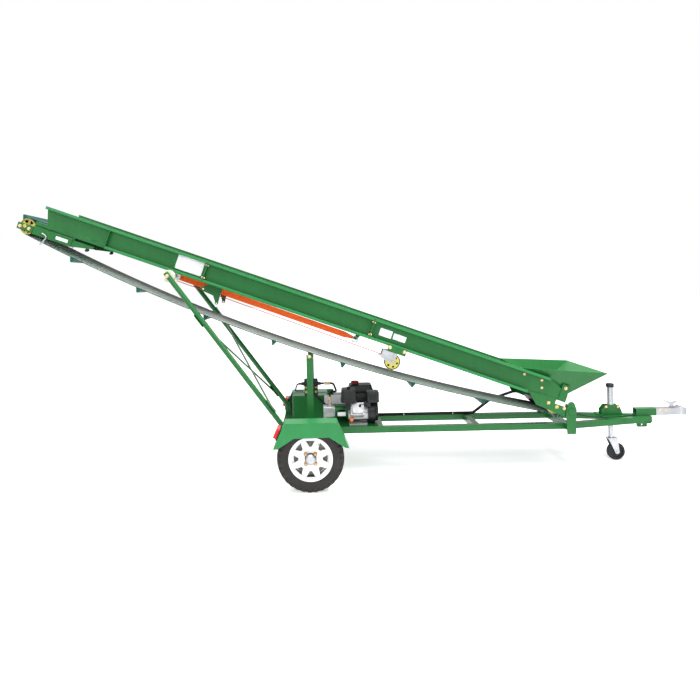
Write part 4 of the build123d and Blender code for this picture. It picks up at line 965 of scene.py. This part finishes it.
# cable ties round the two hoses on the rail
cableTie = {"stations": (836.0, 1280.0), "y": 189, "z": 395.0,
            "across": 0.046, "radius": 0.0105, "width": 0.005, "thickness": 0.0014}
deselect()
bpy.ops.mesh.primitive_cylinder_add(vertices=20, radius=cableTie["radius"], depth=cableTie["width"],
                                    end_fill_type="NOTHING")
tie = added("cableTie")
choose(tie, "FACE", lambda centre, normal: True)
bpy.ops.mesh.extrude_region_shrink_fatten(TRANSFORM_OT_shrink_fatten={"value": cableTie["thickness"]})
pick(tie)
widening = cableTie["across"] / (2 * cableTie["radius"])
bpy.ops.transform.resize(value=(widening, 1.0, 1.0), center_override=(0, 0, 0))
applyPlace()
tiePlaces = []
for x in cableTie["stations"]:
    tiePlaces.append(sheetFrame(onTrailer(x, cableTie["y"], cableTie["z"]), farSide, skyward))
settled(copied("hoseCableTies", tie, tiePlaces), "trailer", "white_nylon")
dropModel(tie)

# plastic cap over the head of the jack
jackCap = {"radius": 0.0325, "skirt": 0.012, "height": 0.021, "place": (2627, 0, 650)}
capTop = turned("jackCap", [
    (jackCap["radius"], -jackCap["skirt"]), (jackCap["radius"] + 0.0003, 0.010), (0.031, 0.016),
    (0.024, 0.020), (0.008, jackCap["height"]),
], 28)
capTop.location = onTrailer(*jackCap["place"])
settled(capTop, "trailer", "black_plastic")

# lamp wire: lies loose over the tongue from the front cross tube to the draw tube
lampWire = {
    "diameter": 0.007, "stepsPerStop": 6,
    "stops": ((2150, -45, 390), (2175, -52, 425), (2215, -62, 442), (2270, -74, 434), (2340, -84, 414),
              (2420, -90, 402), (2500, -94, 397), (2580, -94, 396.8), (2660, -88, 396.8), (2730, -74, 396.8),
              (2790, -52, 404), (2832, -34, 420)),
}


# a smooth run through every stop
def looseRun(stops, steps):
    points = [onTrailer(*stop) for stop in stops]
    padded = [points[0] * 2 - points[1]] + points + [points[-1] * 2 - points[-2]]
    run = []
    for index in range(1, len(padded) - 2):
        before, start, end, after = padded[index - 1:index + 3]
        for step in range(steps):
            share = step / steps
            run.append(0.5 * ((2 * start) + (end - before) * share
                              + (2 * before - 5 * start + 4 * end - after) * share ** 2
                              + (3 * start - before - 3 * end + after) * share ** 3))
    return run + [points[-1]]


wireRun = looseRun(lampWire["stops"], lampWire["stepsPerStop"])
wireRod = bentRod("lampWire", wireRun, lampWire["diameter"], curved=False)
wire = settled(wireRod, "trailer", "black_rubber", angle=60)
wireLength = sum((end - start).length for start, end in zip(wireRun, wireRun[1:]))
print("stage: fittings placed")

# pale floor that glows white towards its far edges, as the camera sees it
studioFloor = {"size": 60.0, "nearSquared": 9.0, "farSquared": 36.0}


def grey(level):
    return (level, level, level, 1)


deselect()
bpy.ops.mesh.primitive_plane_add(size=studioFloor["size"], location=(0, 0, 0))
floor = bpy.context.object
floor.name = "studioFloor"
floorLook = Look("paleFloor", Roughness=0.9, Emission_Strength=1.0)
floorCloud = floorLook.place.noise(scale=0.6, detail=3.0)
floorX, floorY = floorLook.place.axis("X"), floorLook.place.axis("Y")
cameraRay = Wire(floorLook.tree).node("ShaderNodeLightPath", {}, {}, "Is Camera Ray")
fromMiddle = floorX * floorX + floorY * floorY
farOff = fromMiddle.between(studioFloor["nearSquared"], studioFloor["farSquared"]) * cameraRay
floorLook.feed(Base_Color=floorCloud.tint(grey(0.86), grey(0.9)),
               Emission_Color=farOff.tint(grey(0.5), grey(1)))
floor.data.materials.append(floorLook.material)

# white behind the object, a softer and bluer light on it
studioSky = {"light": ((0.93, 0.97, 1.0, 1), 0.42), "back": (grey(1), 1.0)}
world = bpy.data.worlds.new("studioSky")
bpy.context.scene.world = world
world.use_nodes = True
skyTree = world.node_tree
skyTree.nodes.clear()
sky = Wire(skyTree)
cameraRays, glossyRays, clearRays = [
    sky.node("ShaderNodeLightPath", {}, {}, ray)
    for ray in ("Is Camera Ray", "Is Glossy Ray", "Is Transmission Ray")
]
seen = (cameraRays + glossyRays + clearRays).between(0.0, 1.0)
softLight, whiteBack = [
    sky.node("ShaderNodeBackground", {}, {"Color": colour, "Strength": strength})
    for colour, strength in (studioSky["light"], studioSky["back"])
]
mixed = sky.node("ShaderNodeMixShader", {}, {0: seen, 1: softLight, 2: whiteBack})
outputNode = skyTree.nodes.new("ShaderNodeOutputWorld")
skyTree.links.new(mixed.socket, outputNode.inputs["Surface"])


def softBox(name, place, target, width, height, power):
    lamp = bpy.data.lights.new(name, "AREA")
    lamp.shape = "RECTANGLE"
    lamp.size = width
    lamp.size_y = height
    lamp.energy = power
    box = bpy.data.objects.new(name, lamp)
    bpy.context.scene.collection.objects.link(box)
    box.location = place
    box.rotation_euler = (Vector(target) - Vector(place)).to_track_quat("-Z", "Y").to_euler()


softBox("skyBox", place=(-0.5, -1.5, 7.0), target=(0, 0, 0.8), width=8.0, height=5.0, power=640)
softBox("frontBox", place=(-1.5, -6.5, 4.6), target=(-0.3, 0, 1.0), width=10.0, height=3.0, power=330)
softBox("hopperBox", place=(1.75, -0.5, 3.2), target=(1.75, 0.15, 0.85), width=1.6, height=0.8, power=120)

# the view of the photograph, its shifts in pixels of a square picture
photoView = {"sensor": 36.0, "lens": 29.26, "side": 700.0, "shiftRight": 30.0, "shiftUp": -70.0,
             "clipEnd": 100.0, "place": (-0.3425, -5.0, 1.63), "roll": math.radians(-1.2)}
camera = bpy.data.cameras.new("photoCamera")
camera.sensor_width = photoView["sensor"]
camera.lens = photoView["lens"]
camera.shift_x = photoView["shiftRight"] / photoView["side"]
camera.shift_y = photoView["shiftUp"] / photoView["side"]
camera.clip_end = photoView["clipEnd"]
cameraObject = bpy.data.objects.new("photoCamera", camera)
bpy.context.scene.collection.objects.link(cameraObject)
level = Matrix.Rotation(math.radians(90.0), 4, "X")
roll = Matrix.Rotation(photoView["roll"], 4, "Z")
cameraObject.matrix_world = Matrix.Translation(photoView["place"]) @ level @ roll
bpy.context.scene.camera = cameraObject
bpy.context.scene.view_settings.view_transform = "Standard"
print("stage: camera and light set")
